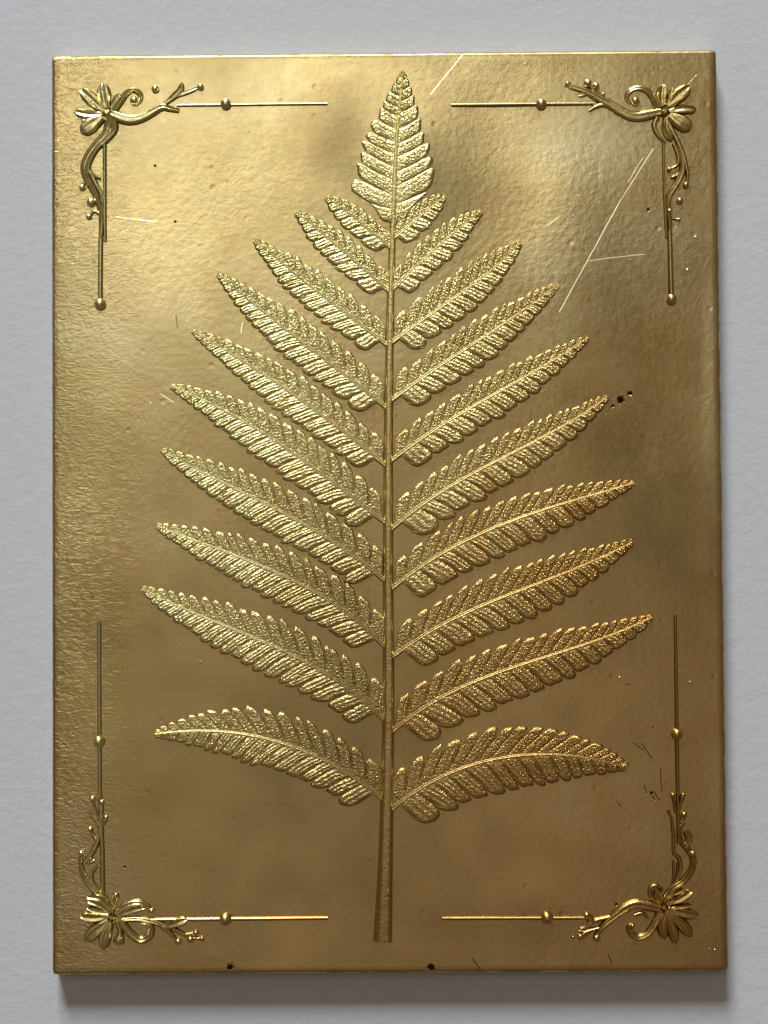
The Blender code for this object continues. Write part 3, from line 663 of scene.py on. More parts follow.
# From the top pair down: height of the root, place of the tip, the angles at which the rib leaves
# and arrives, and the number of lobes and their reach in mm, on the lower and on the upper side
LEFT_LEAFLETS = [
    (58.4, (-13.2, 70.2), 40, 34, (6, 7), 3.2, 2.7), (48.5, (-19.9, 66.9), 42, 40, (10, 10), 3.8, 3.1),
    (36.4, (-29.2, 60.6), 38, 42, (16, 13), 4.4, 3.8), (22.3, (-37.4, 53.0), 40, 42, (18, 16), 4.9, 4.4),
    (9.3, (-43.2, 40.2), 40, 30, (20, 18), 4.9, 4.2), (-3.5, (-48.1, 27.9), 38, 22, (21, 19), 5.4, 4.9),
    (-16.6, (-50.2, 13.5), 42, 30, (21, 19), 5.6, 5.0),
    (-31.5, (-51.3, -3.4), 48, 22, (21, 19), 6.1, 5.1),
    (-47.9, (-54.6, -17.4), 48, 28, (21, 19), 6.4, 5.5),
    (-65.3, (-51.9, -49.7), 42, -8, (19, 18), 6.5, 5.8),
]
RIGHT_LEAFLETS = [
    (60.6, (13.7, 70.2), 38, 36, (5, 7), 3.0, 2.7), (48.8, (21.8, 67.0), 45, 38, (9, 11), 3.8, 3.1),
    (36.9, (30.4, 59.5), 38, 46, (12, 14), 4.7, 4.4), (23.9, (38.7, 50.1), 37, 38, (14, 17), 5.0, 4.2),
    (10.3, (45.2, 38.0), 38, 34, (15, 19), 5.1, 4.1), (-5.1, (49.4, 24.7), 42, 36, (15, 20), 6.0, 4.5),
    (-18.4, (55.2, 5.5), 40, 16, (16, 21), 6.6, 4.6), (-33.6, (54.6, -7.7), 38, 28, (16, 21), 6.7, 5.0),
    (-50.3, (58.7, -24.5), 42, 26, (16, 20), 7.2, 5.2),
    (-67.7, (52.7, -57.7), 42, -18, (15, 18), 7.8, 6.0),
]
# Lean of the lobes from the rib, lower and upper, on the left and on the right, in degrees
LEANS = {-1: (49, 52), 1: (54, 44)}
LOWER_TURN = 15
UPPER_TURN = -8
RIB_HANDLE = 0.36
# Half width of a rib and height of its lobes, and how much each grows with a mm of leaflet
RIB_HALF_WIDTH = (0.32, 0.0013)
LOBE_HEIGHT = (0.62, 0.003)
RIB_TAPER = 0.68
RIB_OVER_LOBES = 0.19
RIB_GROOVE = 0.11
LOWER_START = 0.055
UPPER_START = 0.03
LOBE_CROWDING = 1.22
# Places across a lobe, from one notch to the next, at which a row of the strip runs out
LOBE_SPLITS = (0, 0.04, 0.1, 0.18, 0.26, 0.34, 0.42, 0.5, 0.58, 0.66, 0.74, 0.82, 0.9, 0.96)
LOBE_VEINS = (0.22, 0.5, 0.78)
VEIN_RISE = (0.16, 0.19, 0.15)
ROW_COLUMNS = 14
DOME_RISE = 0.05
RIM_RISE = 0.05
LUMP_RISE = 0.035
END_DROP = 0.14
UPPER_VEIN_RISE = 0.07
UPPER_RIDGE_RISE = 0.06
# Shape of a lobe's end, as shares of its length: how deep the notch beside it is, how much its end
# is rounded, and how much more its leading and its trailing corner are cut; then how far the groove
# between two lobes falls, in mm, what share of its height the row loses towards its far end, and
# how many degrees further the lobes beside the root lean
LOBE_KINDS = {
    "lower": {"notch": 0.17, "round": 0.17, "leading": 0.0, "trailing": 0.0, "groove": 0.22,
              "fall": 0.12, "spread": 22},
    "upper": {"notch": 0.28, "round": 0.18, "leading": 0.12, "trailing": 0.0, "groove": 0.20,
              "fall": 0.12, "spread": 11},
    "tip": {"notch": 0.04, "round": 0.10, "leading": 0.05, "trailing": 0.15, "groove": 0.24,
            "fall": 0.45, "spread": 17.6},
}
# Width of a leaflet along it, as a share of its widest
LEAFLET_WIDTHS = ((0, 0.86), (0.15, 0.93), (0.32, 1.0), (0.46, 0.99), (0.6, 0.88), (0.7, 0.73),
                  (0.8, 0.55), (0.9, 0.34), (0.96, 0.2), (1, 0.08))
SMALLEST_REACH = 0.12
ROOT_LOBES_SHARE = 0.18
GRAIN_RADIUS = 0.22
GRAIN_SPACING = 2.4
GRAIN_FLATTENING = 0.75
SMALLEST_GRAINED = 1.6
ROW_FOOT = 0.45

draw = random.Random(11)
rib_blank = blank_strip(8, 40)


def make_ball(segments, rings, flattening):
    """A flattened ball of radius 1: the blank of the round bumps, and later of the beads."""
    bpy.ops.object.select_all(action="DESELECT")
    bpy.ops.mesh.primitive_uv_sphere_add(segments=segments, ring_count=rings, radius=1)
    ball = bpy.context.object
    bpy.ops.object.mode_set(mode="EDIT")
    bpy.ops.transform.resize(value=(1, 1, flattening))
    bpy.ops.object.mode_set(mode="OBJECT")
    mesh = ball.data
    bpy.data.objects.remove(ball)
    return mesh


def place_ball(name, blank, middle, radius):
    ball = place_mesh(name, blank.copy())
    put_places(ball.data, (mesh_places(ball.data) * radius + np.array(middle)) * MM)
    return ball


grain_blank = make_ball(8, 5, GRAIN_FLATTENING)


def rib_line(root, tip, leave, arrive, side):
    """The rib's curve from root to tip, in mm."""
    root, tip = np.array(root), np.array(tip)
    reach = np.linalg.norm(tip - root) * RIB_HANDLE
    leaving, coming = [np.array((side * math.cos(math.radians(angle)), math.sin(math.radians(angle))))
                       for angle in (leave, arrive)]
    share = np.linspace(0, 1, 61)[:, None]
    rest = 1 - share
    return (root * rest ** 3 + (root + leaving * reach) * 3 * rest ** 2 * share
            + (tip - coming * reach) * 3 * rest * share ** 2 + tip * share ** 3)


def row_shape(count, first, kind):
    """Where the lobes of a row begin along the rib, with a random length and lean for each."""
    steps = np.arange(count + 1) / count
    begins = first + (1 - first) * (1 - (1 - steps) ** LOBE_CROWDING)
    pitch = np.diff(begins)[1:]
    begins[1:-1] += pitch * np.array([draw.uniform(-0.13, 0.13) for _ in pitch])
    lengths = np.array([draw.uniform(0.9, 1.08) for _ in range(count)])
    leans = np.array([draw.uniform(-4, 4) for _ in range(count)])
    if kind == "lower":
        lengths[0] *= 1.06
    return begins, lengths, leans


def lobe_crest(split, out, lobe, kind):
    """Height of a lobe's face over its blade: split runs across it, and out along it."""
    side = 2 * split - 1
    edge = np.minimum(split, 1 - split)
    sway = 0.035 * np.sin(out * 8 + lobe * 2.4)
    start = np.clip(out * 5, 0, 1)
    stop = np.clip((0.96 - out) * 6, 0, 1)
    level = DOME_RISE * (1 - side ** 2) * np.clip(out * 3, 0, 1)
    level -= LOBE_KINDS[kind]["groove"] * bump_at(edge, 0, 0.05) * np.clip((out - 0.15) * 2.5, 0.1, 1)
    level -= END_DROP * np.clip((out - 0.93) / 0.07, 0, 1) ** 2
    level += RIM_RISE * bump_at(out, 0.9, 0.05)
    if kind == "lower":
        for vein, rise in zip(LOBE_VEINS, VEIN_RISE):
            level += rise * bump_at(split, vein + sway, 0.07) * start * stop
    else:
        level += UPPER_VEIN_RISE * bump_at(split, 0.5 + sway, 0.06) * start * stop
        level += UPPER_RIDGE_RISE * bump_at(edge, 0.15, 0.05) * np.clip((out - 0.35) * 4, 0, 1) * stop
    lumps = np.sin(out * 23 + lobe * 5.1) * np.sin(split * 19 + lobe * 3.7)
    return level + LUMP_RISE * lumps * start * stop


def make_row(name, rib, widths, reach, lean, turn, first, count, hand, kind, height):
    """One side of a leaflet or of the tip: all its lobes, from the rib out, with round bumps on
    all but the lower ones. Hand is 1 where they lie to the right of the rib, seen from its root."""
    shape = LOBE_KINDS[kind]
    begins, lengths, leans = row_shape(count, first, kind)
    rows = count * len(LOBE_SPLITS)
    piece = place_mesh(name, blank_strip(ROW_COLUMNS, rows))
    places = mesh_places(piece.data)
    shares = np.linspace(0, 1, len(rib))
    heading = headings(rib)
    splits = np.array(LOBE_SPLITS + (1.0,))

    def on_row(lobe, split, out, foot=0):
        """Place on the plate of a point of the row, in mm; foot is how far its wall runs out."""
        share = begins[lobe] + (begins[lobe + 1] - begins[lobe]) * split
        run_x, run_y = [np.interp(share, shares, heading[:, axis]) for axis in (0, 1)]
        swing = np.interp(lobe + split, np.arange(count) + 0.5, leans)
        spread = shape["spread"] * np.clip(1 - share / ROOT_LOBES_SHARE, 0, 1)
        angle = np.radians(lean + spread + swing)
        side = np.clip(2 * split - 1, -1, 1)
        notch = shape["notch"] * (1 - 0.5 * share ** 2) * np.abs(side) ** 9
        notch += shape["round"] * (1 - np.sqrt(1 - side ** 2)) + shape["leading"] * np.clip(side, 0, 1) ** 2
        notch += shape["trailing"] * ((1 - side) / 2) ** 1.5
        full = np.maximum(reach * np.interp(share, *zip(*widths)), SMALLEST_REACH)
        full = full * lengths[lobe] ** (1 - np.abs(side))
        length = full * (1 - notch) * 1.04 / np.sin(angle + math.radians(turn) / 2)
        turned = angle + math.radians(turn) * out / 2
        step_x = np.cos(turned) * run_x + np.sin(turned) * run_y * hand
        step_y = np.cos(turned) * run_y - np.sin(turned) * run_x * hand
        reached = length * out + np.minimum(foot, full * 0.6) * (out > 0.999)
        return (np.interp(share, shares, rib[:, 0]) + reached * step_x,
                np.interp(share, shares, rib[:, 1]) + reached * step_y)

    index = np.round((places[:, 1] + 1) / 2 * rows).astype(int)
    lobe = np.minimum(index // len(LOBE_SPLITS), count - 1)
    split = splits[index - lobe * len(LOBE_SPLITS)]
    out = 1 - (1 - (places[:, 0] + 1) / 2) ** 1.25
    raised = places[:, 2] > 0.5
    fall = (1 - shape["fall"] * (lobe / count) ** 2) * (1 - 0.06 * out)
    level = height * fall + lobe_crest(split, out, lobe, kind)
    places[:, 0], places[:, 1] = on_row(lobe, split, out, np.where(raised, 0, ROW_FOOT))
    places[:, 2] = np.where(raised, PLATE_FACE + level, PLATE_FACE - SUNK)
    put_places(piece.data, places * MM)
    if hand < 0:
        piece.data.flip_normals()
    parts = [piece]
    if kind == "lower":
        return parts
    for number in range(count):
        size = reach * np.interp(begins[number], *zip(*widths))
        grain_rows = int(size * 0.7 / (GRAIN_RADIUS * GRAIN_SPACING)) if size > SMALLEST_GRAINED else 0
        for row in range(grain_rows):
            for aside in (0.3, 0.7):
                way = 0.14 + 0.6 * (row + 0.5) / grain_rows + draw.uniform(-0.02, 0.02)
                place = aside + draw.uniform(-0.04, 0.04)
                x, y = on_row(number, place, way)
                z = PLATE_FACE + height + float(lobe_crest(place, np.array(way), number, kind))
                parts.append(place_ball(name, grain_blank, (x, y, z), GRAIN_RADIUS * draw.uniform(0.7, 1.15)))
    return parts


def make_leaflet(name, leaflet, side):
    """A blade along its rib with two rows of lobes, as one piece."""
    height, tip, leave, arrive, counts, lower_reach, upper_reach = leaflet
    rib = rib_line((rachis_x(height), height), tip, leave, arrive, side)
    length = np.linalg.norm(np.diff(rib, axis=0), axis=1).sum()
    half_width, lobe_height = [least + length * growth for least, growth in (RIB_HALF_WIDTH, LOBE_HEIGHT)]

    def rib_width(along, across):
        return half_width * (1 - RIB_TAPER * along)

    def rib_crest(along, across):
        top = lobe_height + RIB_OVER_LOBES - 0.08 * along
        return top - 0.06 * np.abs(across) ** 4 - RIB_GROOVE * bump_at(across, 0, 0.32)

    parts = [bend_strip(rib_blank, name, rib, rib_width, rib_crest)]
    parts[0].data.materials.append(rib_brass)
    for kind, reach, lean, turn, first, count, hand in (
            ("lower", lower_reach, LEANS[side][0], LOWER_TURN, LOWER_START, counts[0], side),
            ("upper", upper_reach, LEANS[side][1], UPPER_TURN, UPPER_START, counts[1], -side)):
        parts += make_row(name, rib, LEAFLET_WIDTHS, reach, lean, turn, first, count, hand, kind, lobe_height)
    return join_pieces(name, parts, frond_brass)


for side, word, leaflets in ((-1, "left", LEFT_LEAFLETS), (1, "right", RIGHT_LEAFLETS)):
    for number, leaflet in enumerate(leaflets, 1):
        finish_relief(make_leaflet(f"leaflet_{word}_{number}", leaflet, side), "fern_frond")

# Frond: tip
# Above the last pair the leaflets are single pointed lobes, long at the foot of the tip and
# shorter towards its point, all grown together along the rachis. Each side is one strip, like a
# side of a leaflet, whose rib is the rachis.
TIP_FOOT = 64
TIP_HEIGHT = 0.78
TIP_WIDTHS = ((0, 0.3), (0.07, 0.48), (0.12, 1.0), (0.28, 0.9), (0.44, 0.73), (0.6, 0.54), (0.7, 0.43),
              (0.77, 0.35), (0.83, 0.26), (0.89, 0.18), (0.96, 0.09), (1, 0.01))
TIP_TURN = -4
# For each side: which way it lies, its reach in mm, the lean of its lobes and their number
TIP_SIDES = ((-1, 9.6, 67, 13), (1, 9.4, 60, 11))


def make_tip():
    line = evenly(rachis_line[rachis_line[:, 1] > TIP_FOOT], 61)
    parts = []
    for side, reach, lean, count in TIP_SIDES:
        parts += make_row("tip", line, TIP_WIDTHS, reach, lean, TIP_TURN, 0, count, side, "tip", TIP_HEIGHT)
    return join_pieces("frond_tip", parts, frond_brass)


finish_relief(make_tip(), "fern_frond")

# Corner ornaments
# One in each corner, cast with the plate: a flower of seven or so petals with a scroll beside
# it, two stems that branch into leaves and buds, and thin rods with beads. Every stroke is
# one bent strip, and beads and berries are low balls.

# Width of each kind of stroke along it, as a share of its widest
STROKE_WIDTHS = {
    "petal": ((0, 0.5), (0.25, 0.74), (0.55, 1.0), (0.8, 0.88), (0.93, 0.58), (1, 0.12)),
    "stem": ((0, 0.8), (0.15, 1.0), (0.5, 0.88), (0.8, 0.62), (1, 0.4)),
    "strand": ((0, 0.9), (0.3, 1.0), (0.75, 0.75), (1, 0.45)),
    "bud": ((0, 0.4), (0.5, 0.5), (0.8, 1.0), (0.94, 0.84), (1, 0.3)),
    "rod": ((0, 1.0), (1, 1.0)),
}
STROKE_FOOT = 0.3
STROKE_RISE = 0.36
BEAD_FLATTENING = 0.85
HEART_DEPTH = 1.2
HEART_LEVEL = 0.9
# For each corner: middle of the flower, size of its square heart, then its strokes by their kind,
# each with its greatest width and its points, and its beads with their radius and place. Points
# and beads are in mm from the middle of the flower.
CORNERS = {
    "corner_ornament_top_left": {
        "centre": (-62.3, 89.7), "heart": 0.95,
        "petal": [
            (2.7, (-0.7, 0.3), (-2.8, 2.4), (-6.0, 5.4)), (2.9, (-0.3, 1.0), (-0.7, 3.7), (-1.1, 6.7)),
            (1.9, (-1.1, -0.2), (-4.2, -0.3), (-7.5, 0.4)),
            (1.2, (-1.2, -0.8), (-3.8, -1.2), (-6.0, -1.5)),
            (3.4, (-1.1, -0.9), (-3.5, -2.5), (-6.0, -4.4)), (1.3, (0.9, 1.0), (1.6, 2.6), (2.8, 4.4)),
            (1.5, (12.7, 1.8), (14.8, 3.5), (16.4, 5.1), (16.8, 6.8)),
            (1.0, (13.7, 2.6), (16.0, 3.9), (18.3, 4.7), (20.6, 5.6)),
            (1.3, (0.3, -1.5), (-0.1, -3.6), (-0.7, -5.3)),
        ],
        "stem": [
            (2.3, (0.8, -0.2), (4.4, -1.5), (7.1, -1.3), (9.8, -0.1), (12.3, 1.2), (14.2, 0.8),
             (16.1, 0.4)),
        ],
        "strand": [
            (1.4, (1.6, 0.6), (3.0, 2.7), (4.3, 4.5), (5.9, 5.2), (7.3, 4.3), (7.4, 2.9), (6.4, 1.9)),
            (1.7, (0.3, -0.8), (-0.3, -4.4), (-2.6, -7.1), (-4.5, -9.8), (-5.3, -12.5), (-4.5, -15.2),
             (-3.0, -17.9), (-1.8, -21.0), (-1.4, -23.7), (-1.6, -28.9)),
            (1.5, (1.2, -0.9), (1.6, -3.6), (-0.3, -5.9), (-2.4, -7.8), (-3.8, -10.2), (-4.4, -12.1),
             (-3.8, -13.7), (-1.6, -14.8)),
            (0.9, (-4.2, -12.9), (-2.6, -16.0), (-1.1, -19.0), (-0.8, -20.4)),
        ],
        "rod": [
            (0.6, (-5.0, -15.4), (-5.7, -16.7)), (0.6, (-2.6, -19.4), (-3.6, -20.2)),
            (0.8, (-1.6, -23.1), (-3.0, -22.2), (-4.2, -23.4)), (0.62, (15.6, 1.6), (49.6, 1.7)),
            (0.7, (-0.7, -7.0), (-0.6, -29.1)), (1.05, (-1.6, -28.5), (-1.7, -42.2)),
        ],
        "bead": [
            (1.2, (26.7, 1.7)), (1.3, (-1.7, -43.3)), (0.85, (10.8, 5.3)), (0.75, (21.0, 5.7)),
            (1.0, (6.1, 2.7)), (0.7, (-5.7, -16.9)), (0.95, (-3.7, -20.3)), (0.65, (-4.2, -23.5)),
        ],
    },
    "corner_ornament_top_right": {
        "centre": (62.9, 88.8), "heart": 0.95,
        "petal": [
            (2.3, (-0.3, 1.2), (-0.5, 3.5), (-0.1, 6.4)), (1.0, (0.7, 1.6), (1.4, 3.5), (2.0, 5.6)),
            (3.0, (0.9, 1.2), (3.2, 3.5), (5.9, 5.8)), (2.1, (1.2, 0.1), (4.0, 0.6), (7.3, 0.5)),
            (3.5, (1.2, -0.8), (3.7, -2.3), (6.1, -3.9)), (1.9, (0.4, -1.3), (0.5, -3.8), (1.6, -6.6)),
            (1.0, (-17.2, 4.3), (-19.3, 4.0)),
        ],
        "stem": [
            (2.3, (-0.8, 0.1), (-4.2, -0.7), (-6.9, -0.9), (-9.6, 0.3), (-11.9, 1.8), (-14.7, 3.3),
             (-17.0, 4.7), (-19.7, 5.7), (-21.2, 6.1)),
        ],
        "strand": [
            (1.1, (-1.5, -1.1), (-2.2, -3.0), (-1.3, -5.3), (0.3, -6.9)),
            (1.4, (-1.4, 0.9), (-2.4, 3.3), (-3.8, 5.0), (-5.7, 5.6), (-7.6, 4.9), (-8.3, 3.3),
             (-7.5, 2.1)),
            (1.2, (-10.8, 1.2), (-13.5, 1.8), (-15.2, 1.4), (-16.9, 0.4)),
            (1.2, (0.9, -2.2), (2.8, -6.1), (4.1, -9.2), (4.9, -12.3), (5.2, -14.6), (4.6, -16.9)),
            (1.4, (3.3, -7.3), (4.0, -10.4), (3.95, -13.4), (2.6, -16.2), (1.0, -18.9), (0.7, -21.6),
             (1.0, -24.3), (1.1, -27.6)),
            (0.9, (2.2, -7.2), (3.1, -10.0), (2.9, -11.9), (1.2, -12.9)),
        ],
        "bud": [
            (1.5, (-20.0, 5.4), (-21.9, 6.9)), (0.9, (3.8, -13.0), (2.8, -14.2), (1.4, -14.9)),
            (0.9, (1.5, -24.1), (3.5, -24.3)),
        ],
        "rod": [
            (0.7, (-14.7, 4.0), (-16.8, 6.4)), (0.7, (-14.0, 3.4), (-15.2, 5.8)),
            (0.75, (-47.8, 2.1), (-15.8, 2.1)), (0.55, (-0.2, -6.9), (-0.1, -18.0), (0.3, -28.5)),
            (1.0, (1.0, -26.9), (1.2, -41.4)),
        ],
        "bead": [
            (1.2, (-27.5, 2.0)), (1.2, (1.2, -42.3)), (0.8, (3.3, -20.1)), (1.0, (-6.4, 2.5)),
            (0.95, (-17.0, 6.6)), (0.8, (-15.2, 6.0)), (0.4, (-13.5, 4.2)), (0.6, (1.1, -13.0)),
            (0.75, (4.7, -16.6)), (0.6, (1.0, -22.4)),
        ],
    },
    "corner_ornament_bottom_left": {
        "centre": (-61.6, -90.2), "heart": 0.8,
        "petal": [
            (1.7, (0.2, 1.2), (-2.6, 4.1), (-5.9, 4.5)), (1.5, (-0.8, 1.3), (-3.3, 2.9), (-5.6, 3.6)),
            (1.3, (-0.8, 0.9), (-3.3, 1.3), (-5.8, 2.1)), (2.4, (-0.8, 0.2), (-4.2, 0.0), (-7.0, 0.3)),
            (2.8, (-0.8, -0.7), (-3.6, -2.9), (-6.1, -5.3)),
            (2.6, (-0.3, -1.1), (-1.5, -4.1), (-2.0, -7.1)), (1.2, (1.9, 0.5), (4.9, 1.5), (7.4, 2.0)),
            (1.9, (12.4, -2.3), (14.6, -1.3), (16.7, -0.5)), (1.2, (-5.5, 11.9), (-3.9, 12.9)),
        ],
        "strand": [
            (1.7, (1.3, 1.1), (3.6, 2.6), (5.8, 3.1), (7.7, 2.3), (8.8, 1.3)),
            (1.8, (1.9, -0.9), (4.1, -3.7), (6.3, -5.1), (8.3, -4.2), (8.6, -2.2), (7.4, -1.2),
             (6.2, -1.5)),
            (1.3, (2.4, -0.6), (5.8, -0.5), (8.6, -1.0), (11.4, -1.9), (13.9, -2.9), (15.8, -3.8),
             (17.4, -4.7)),
            (1.0, (9.9, -1.3), (12.4, -3.2), (14.6, -5.4)),
            (1.4, (-1.0, 3.4), (-2.6, 5.0), (-4.8, 6.9), (-6.4, 9.4), (-7.0, 12.2), (-6.8, 14.0)),
            (1.1, (-2.4, 4.6), (-4.3, 7.5), (-4.5, 9.7), (-3.2, 11.3)),
            (1.2, (-6.1, 12.0), (-4.5, 14.1), (-3.3, 16.6), (-2.6, 19.5), (-3.2, 20.9), (-5.2, 23.4)),
            (0.9, (-3.1, 20.8), (-4.3, 26.0)), (1.2, (-2.6, 20.5), (-2.2, 25.2)),
        ],
        "bud": [
            (2.4, (1.1, -1.0), (1.8, -3.6), (1.2, -6.1)), (1.5, (0.3, 1.2), (0.6, 3.4), (0.9, 5.3)),
            (1.1, (-2.4, 19.3), (-1.3, 21.9)),
        ],
        "rod": [
            (0.7, (16.2, -4.0), (18.5, -3.6)), (0.7, (17.4, -4.7), (19.8, -4.9)),
            (0.7, (-3.5, 16.8), (-4.8, 19.3)), (0.8, (2.2, -0.7), (47.9, -0.5)),
            (1.0, (-2.1, 4.6), (-2.2, 14.1), (-2.4, 19.8), (-2.7, 28.0)),
            (0.9, (-2.7, 27.6), (-2.8, 65.6)),
        ],
        "bead": [
            (1.35, (25.2, -0.6)), (1.3, (-2.8, 38.8)), (0.65, (-6.8, 14.1)), (0.6, (-4.8, 19.4)),
            (0.7, (-4.3, 26.1)), (0.6, (-2.2, 25.4)), (0.75, (14.7, -5.5)), (0.75, (17.4, -5.0)),
            (0.65, (18.6, -3.6)), (0.6, (19.9, -4.9)), (0.7, (2.0, -4.7)), (0.7, (8.8, 1.3)),
            (0.5, (-1.3, 22.0)),
        ],
    },
    "corner_ornament_bottom_right": {
        "centre": (60.8, -88.8), "heart": 0.8,
        "petal": [
            (1.8, (-0.7, 1.0), (-1.3, 2.8), (-1.7, 4.3)), (1.1, (2.0, 2.7), (4.4, 3.9)),
            (2.0, (1.4, 0.9), (4.1, 2.2), (6.2, 3.7)), (1.2, (1.7, -0.1), (3.8, 0.1), (6.1, 0.4)),
            (2.2, (1.4, -0.4), (5.0, -1.4), (7.6, -1.7)), (2.5, (1.2, -0.9), (3.8, -3.6), (6.1, -6.4)),
            (2.3, (0.6, -1.2), (1.7, -4.5), (2.6, -7.9)), (2.2, (-0.1, -1.2), (-0.5, -4.2), (0.2, -6.9)),
            (1.1, (-15.7, -4.6), (-19.0, -4.8)), (1.5, (5.0, 13.1), (5.7, 15.3), (4.8, 17.0)),
        ],
        "stem": [
            (2.2, (-0.9, -0.2), (-3.9, 0.5), (-6.3, 0.8), (-9.0, -0.3), (-11.4, -2.1), (-13.8, -4.2),
             (-15.2, -6.3)),
        ],
        "strand": [
            (0.9, (-0.9, 0.9), (-2.8, 2.4), (-3.0, 4.2), (-1.7, 4.9), (0.0, 3.8)),
            (1.6, (-0.9, -1.0), (-2.1, -3.6), (-3.7, -5.7), (-5.7, -6.5), (-7.5, -5.5), (-7.8, -4.1),
             (-6.8, -3.9)),
            (0.8, (-6.6, -1.6), (-4.8, -1.2), (-3.5, -2.4)),
            (1.5, (-0.1, 1.4), (2.0, 4.2), (4.4, 5.8), (6.3, 8.4), (6.6, 10.5), (5.6, 12.6), (4.4, 14.0),
             (3.6, 15.8), (3.9, 17.8), (4.8, 18.8)),
            (0.9, (2.3, 4.8), (3.7, 8.1), (3.5, 10.8), (2.4, 12.0), (2.3, 15.9), (1.9, 19.5),
             (1.1, 21.6)),
        ],
        "bud": [
            (1.7, (-10.6, -1.6), (-14.3, -2.5), (-15.8, -2.9), (-17.1, -1.5)),
            (1.5, (-13.2, -4.0), (-16.7, -5.1), (-18.6, -6.2)),
            (1.1, (3.6, 21.2), (4.0, 23.2), (4.7, 25.2)),
        ],
        "rod": [
            (0.8, (6.7, 9.8), (6.5, 11.8)), (0.8, (3.9, 18.6), (4.7, 20.4)),
            (0.5, (1.9, 4.2), (2.2, 7.4), (2.2, 10.5)), (0.5, (2.3, 4.4), (3.0, 7.4), (3.1, 9.9)),
            (0.6, (2.9, 20.8), (2.3, 24.6)), (0.75, (-49.1, -2.1), (-16.6, -2.2)),
            (0.7, (3.4, 14.0), (3.3, 64.7)),
        ],
        "bead": [
            (1.35, (-25.9, -2.1)), (1.3, (3.3, 38.3)), (0.75, (6.5, 11.9)), (0.65, (4.7, 20.5)),
            (0.5, (2.3, 24.8)), (0.85, (-15.0, -6.6)), (0.7, (-18.6, -6.3)), (0.4, (-20.2, -6.4)),
            (0.7, (-17.1, -1.6)), (0.6, (-7.0, -4.0)), (0.4, (1.2, -0.2)),
        ],
    },
}

petal_blank = blank_strip(12, 16)
strand_blank = blank_strip(10, 40)
rod_blank = blank_strip(8, 24)
ball_blank = make_ball(24, 14, BEAD_FLATTENING)
# The blank of each kind of stroke, and how its rows gather at its end
STROKE_BLANKS = {"petal": (petal_blank, 1.2), "stem": (strand_blank, 1.0), "strand": (strand_blank, 1.0),
                 "bud": (rod_blank, 1.2), "rod": (rod_blank, 1.0)}
PETAL_RIM = 0.2
PETAL_GROOVE = 0.24
STRAND_GROOVE = 0.3
GROOVED_WIDTH = 1.25


def make_stroke(name, points, full, kind):
    """One stroke of an ornament: petals have a raised rim and vein, thick stems a groove."""
    def shape(along):
        return np.interp(along, *zip(*STROKE_WIDTHS[kind]))

    def half_width(along, across):
        return full / 2 * shape(along)

    def crest(along, across):
        top = STROKE_FOOT + STROKE_RISE * full * shape(along) ** 0.5
        round_over = top * (1 - np.sqrt(1 - np.clip(np.abs(across), 0, 1) ** 2.4 * 0.96))
        if kind == "petal":
            marks = PETAL_RIM * bump_at(np.abs(across), 0.66, 0.16)
            marks -= PETAL_GROOVE * bump_at(across, -0.1, 0.26)
            return top - round_over * 0.6 + marks * np.clip(full - 0.6, 0, 1) * np.clip(along * 3, 0.2, 1)
        if kind in ("stem", "strand") and full > GROOVED_WIDTH:
            return top - round_over * 0.8 - STRAND_GROOVE * bump_at(across, -0.12, 0.26)
        return top - round_over

    line = evenly(smooth_line(points, 6), 60) if len(points) > 2 else points
    blank, crowding = STROKE_BLANKS[kind]
    return bend_strip(blank, name, line, half_width, crest, crowding)


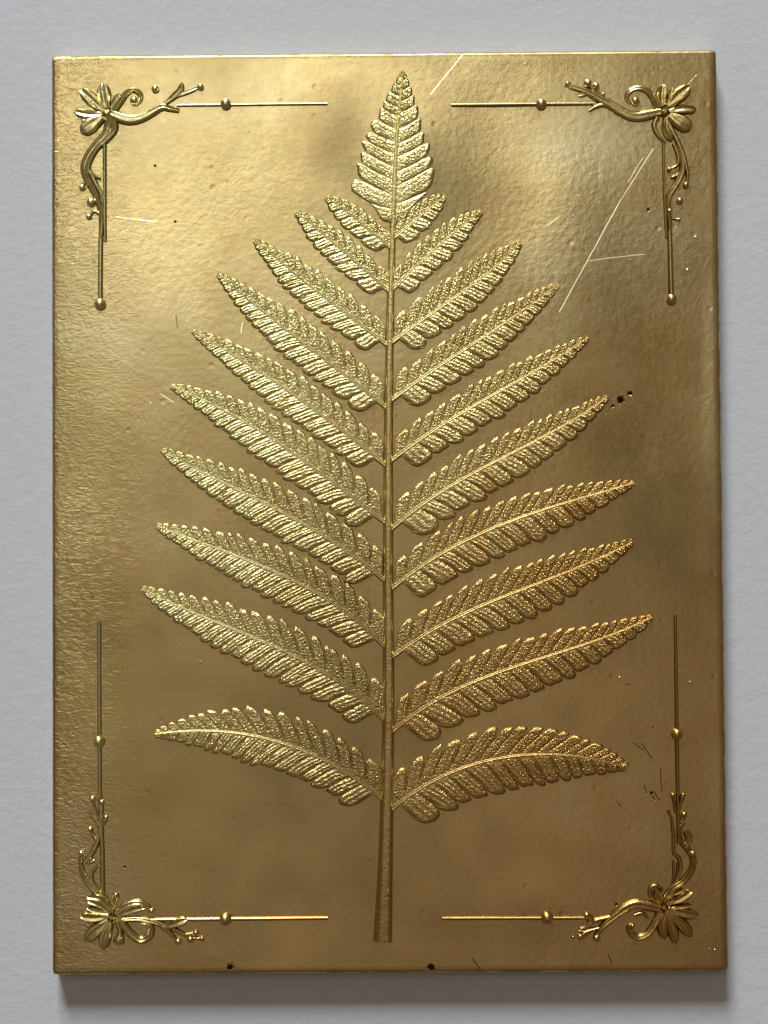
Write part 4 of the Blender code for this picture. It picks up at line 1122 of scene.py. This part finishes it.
def make_ornament(name, corner):
    """All the strokes and beads of one corner, and the heart of its flower, as one piece."""
    centre_x, centre_y = corner["centre"]
    parts = []
    for kind in STROKE_BLANKS:
        for full, *points in corner.get(kind, []):
            parts.append(make_stroke(name, np.array(points) + corner["centre"], full, kind))
    for radius, (x, y) in corner["bead"]:
        middle = (centre_x + x, centre_y + y, PLATE_FACE + STROKE_FOOT + radius * 0.25)
        parts.append(place_ball(name, ball_blank, middle, radius))
    bpy.ops.object.select_all(action="DESELECT")
    bpy.ops.mesh.primitive_cone_add(vertices=4, radius1=corner["heart"] * 1.5, radius2=corner["heart"] * 0.5,
                                    depth=HEART_DEPTH,
                                    location=(centre_x, centre_y, PLATE_FACE + HEART_LEVEL))
    heart = bpy.context.object
    bpy.ops.object.transform_apply(location=True)
    put_places(heart.data, mesh_places(heart.data) * MM)
    parts.append(heart)
    return join_pieces(name.replace("corner_ornament", "ornament"), parts, ornament_brass)


ornament_brass = make_relief_brass("ornament_brass", 1500.0, 0.05, 0.2)
for node, corner in CORNERS.items():
    finish_relief(make_ornament(node, corner), node)

# Floor and light
# Not part of the plaque: a pale rough board under it, a low window-like light beyond the head of
# the plate, a weaker soft one higher up and a faint wide one overhead.
BOARD_GREY = (0.65, 0.69, 0.745, 1)
BOARD_PALE = (0.73, 0.77, 0.825, 1)

bpy.ops.object.select_all(action="DESELECT")
bpy.ops.mesh.primitive_plane_add(size=3)
floor = bpy.context.object
floor.name = "floor"


def make_board():
    material, bench, shader, place = start_material("pale_board")
    shader.inputs["Metallic"].default_value = 0.0
    shader.inputs["Roughness"].default_value = 0.8
    flecks = bench.noise(place, 3, 4.0, 0.7)
    bench.join(bench.mix(flecks, BOARD_GREY, BOARD_PALE), shader.inputs["Base Color"])
    bench.join(bench.bump(flecks, 0.3, 0.6), shader.inputs["Normal"])
    return material


floor.data.materials.append(make_board())


def add_light(name, toward, distance, wide, tall, power, colour):
    """A light that hangs in a direction from the plaque and faces it."""
    bpy.ops.object.light_add(type="AREA")
    box = bpy.context.object
    box.name = name
    direction = Vector(toward).normalized()
    box.location = direction * distance
    box.rotation_euler = direction.to_track_quat("Z", "Y").to_euler()
    box.data.shape = "RECTANGLE"
    box.data.size = wide
    box.data.size_y = tall
    box.data.energy = power
    box.data.color = colour


add_light("window light", (-0.13, 0.82, 0.46), 3.0, 0.8, 0.8, 84, (0.97, 0.985, 1.0))
add_light("high softbox", (-0.12, 0.32, 0.95), 3.0, 1.3, 0.8, 5.0, (1.0, 0.98, 0.94))
add_light("ceiling panel", (-0.08, -0.08, 0.98), 3.0, 1.7, 1.4, 1.3, (1.0, 0.95, 0.86))

world = bpy.data.worlds.new("room")
world.use_nodes = True
room = world.node_tree.nodes["Background"].inputs
room["Color"].default_value = (1.0, 0.70, 0.42, 1)
room["Strength"].default_value = 0.10
bpy.context.scene.world = world
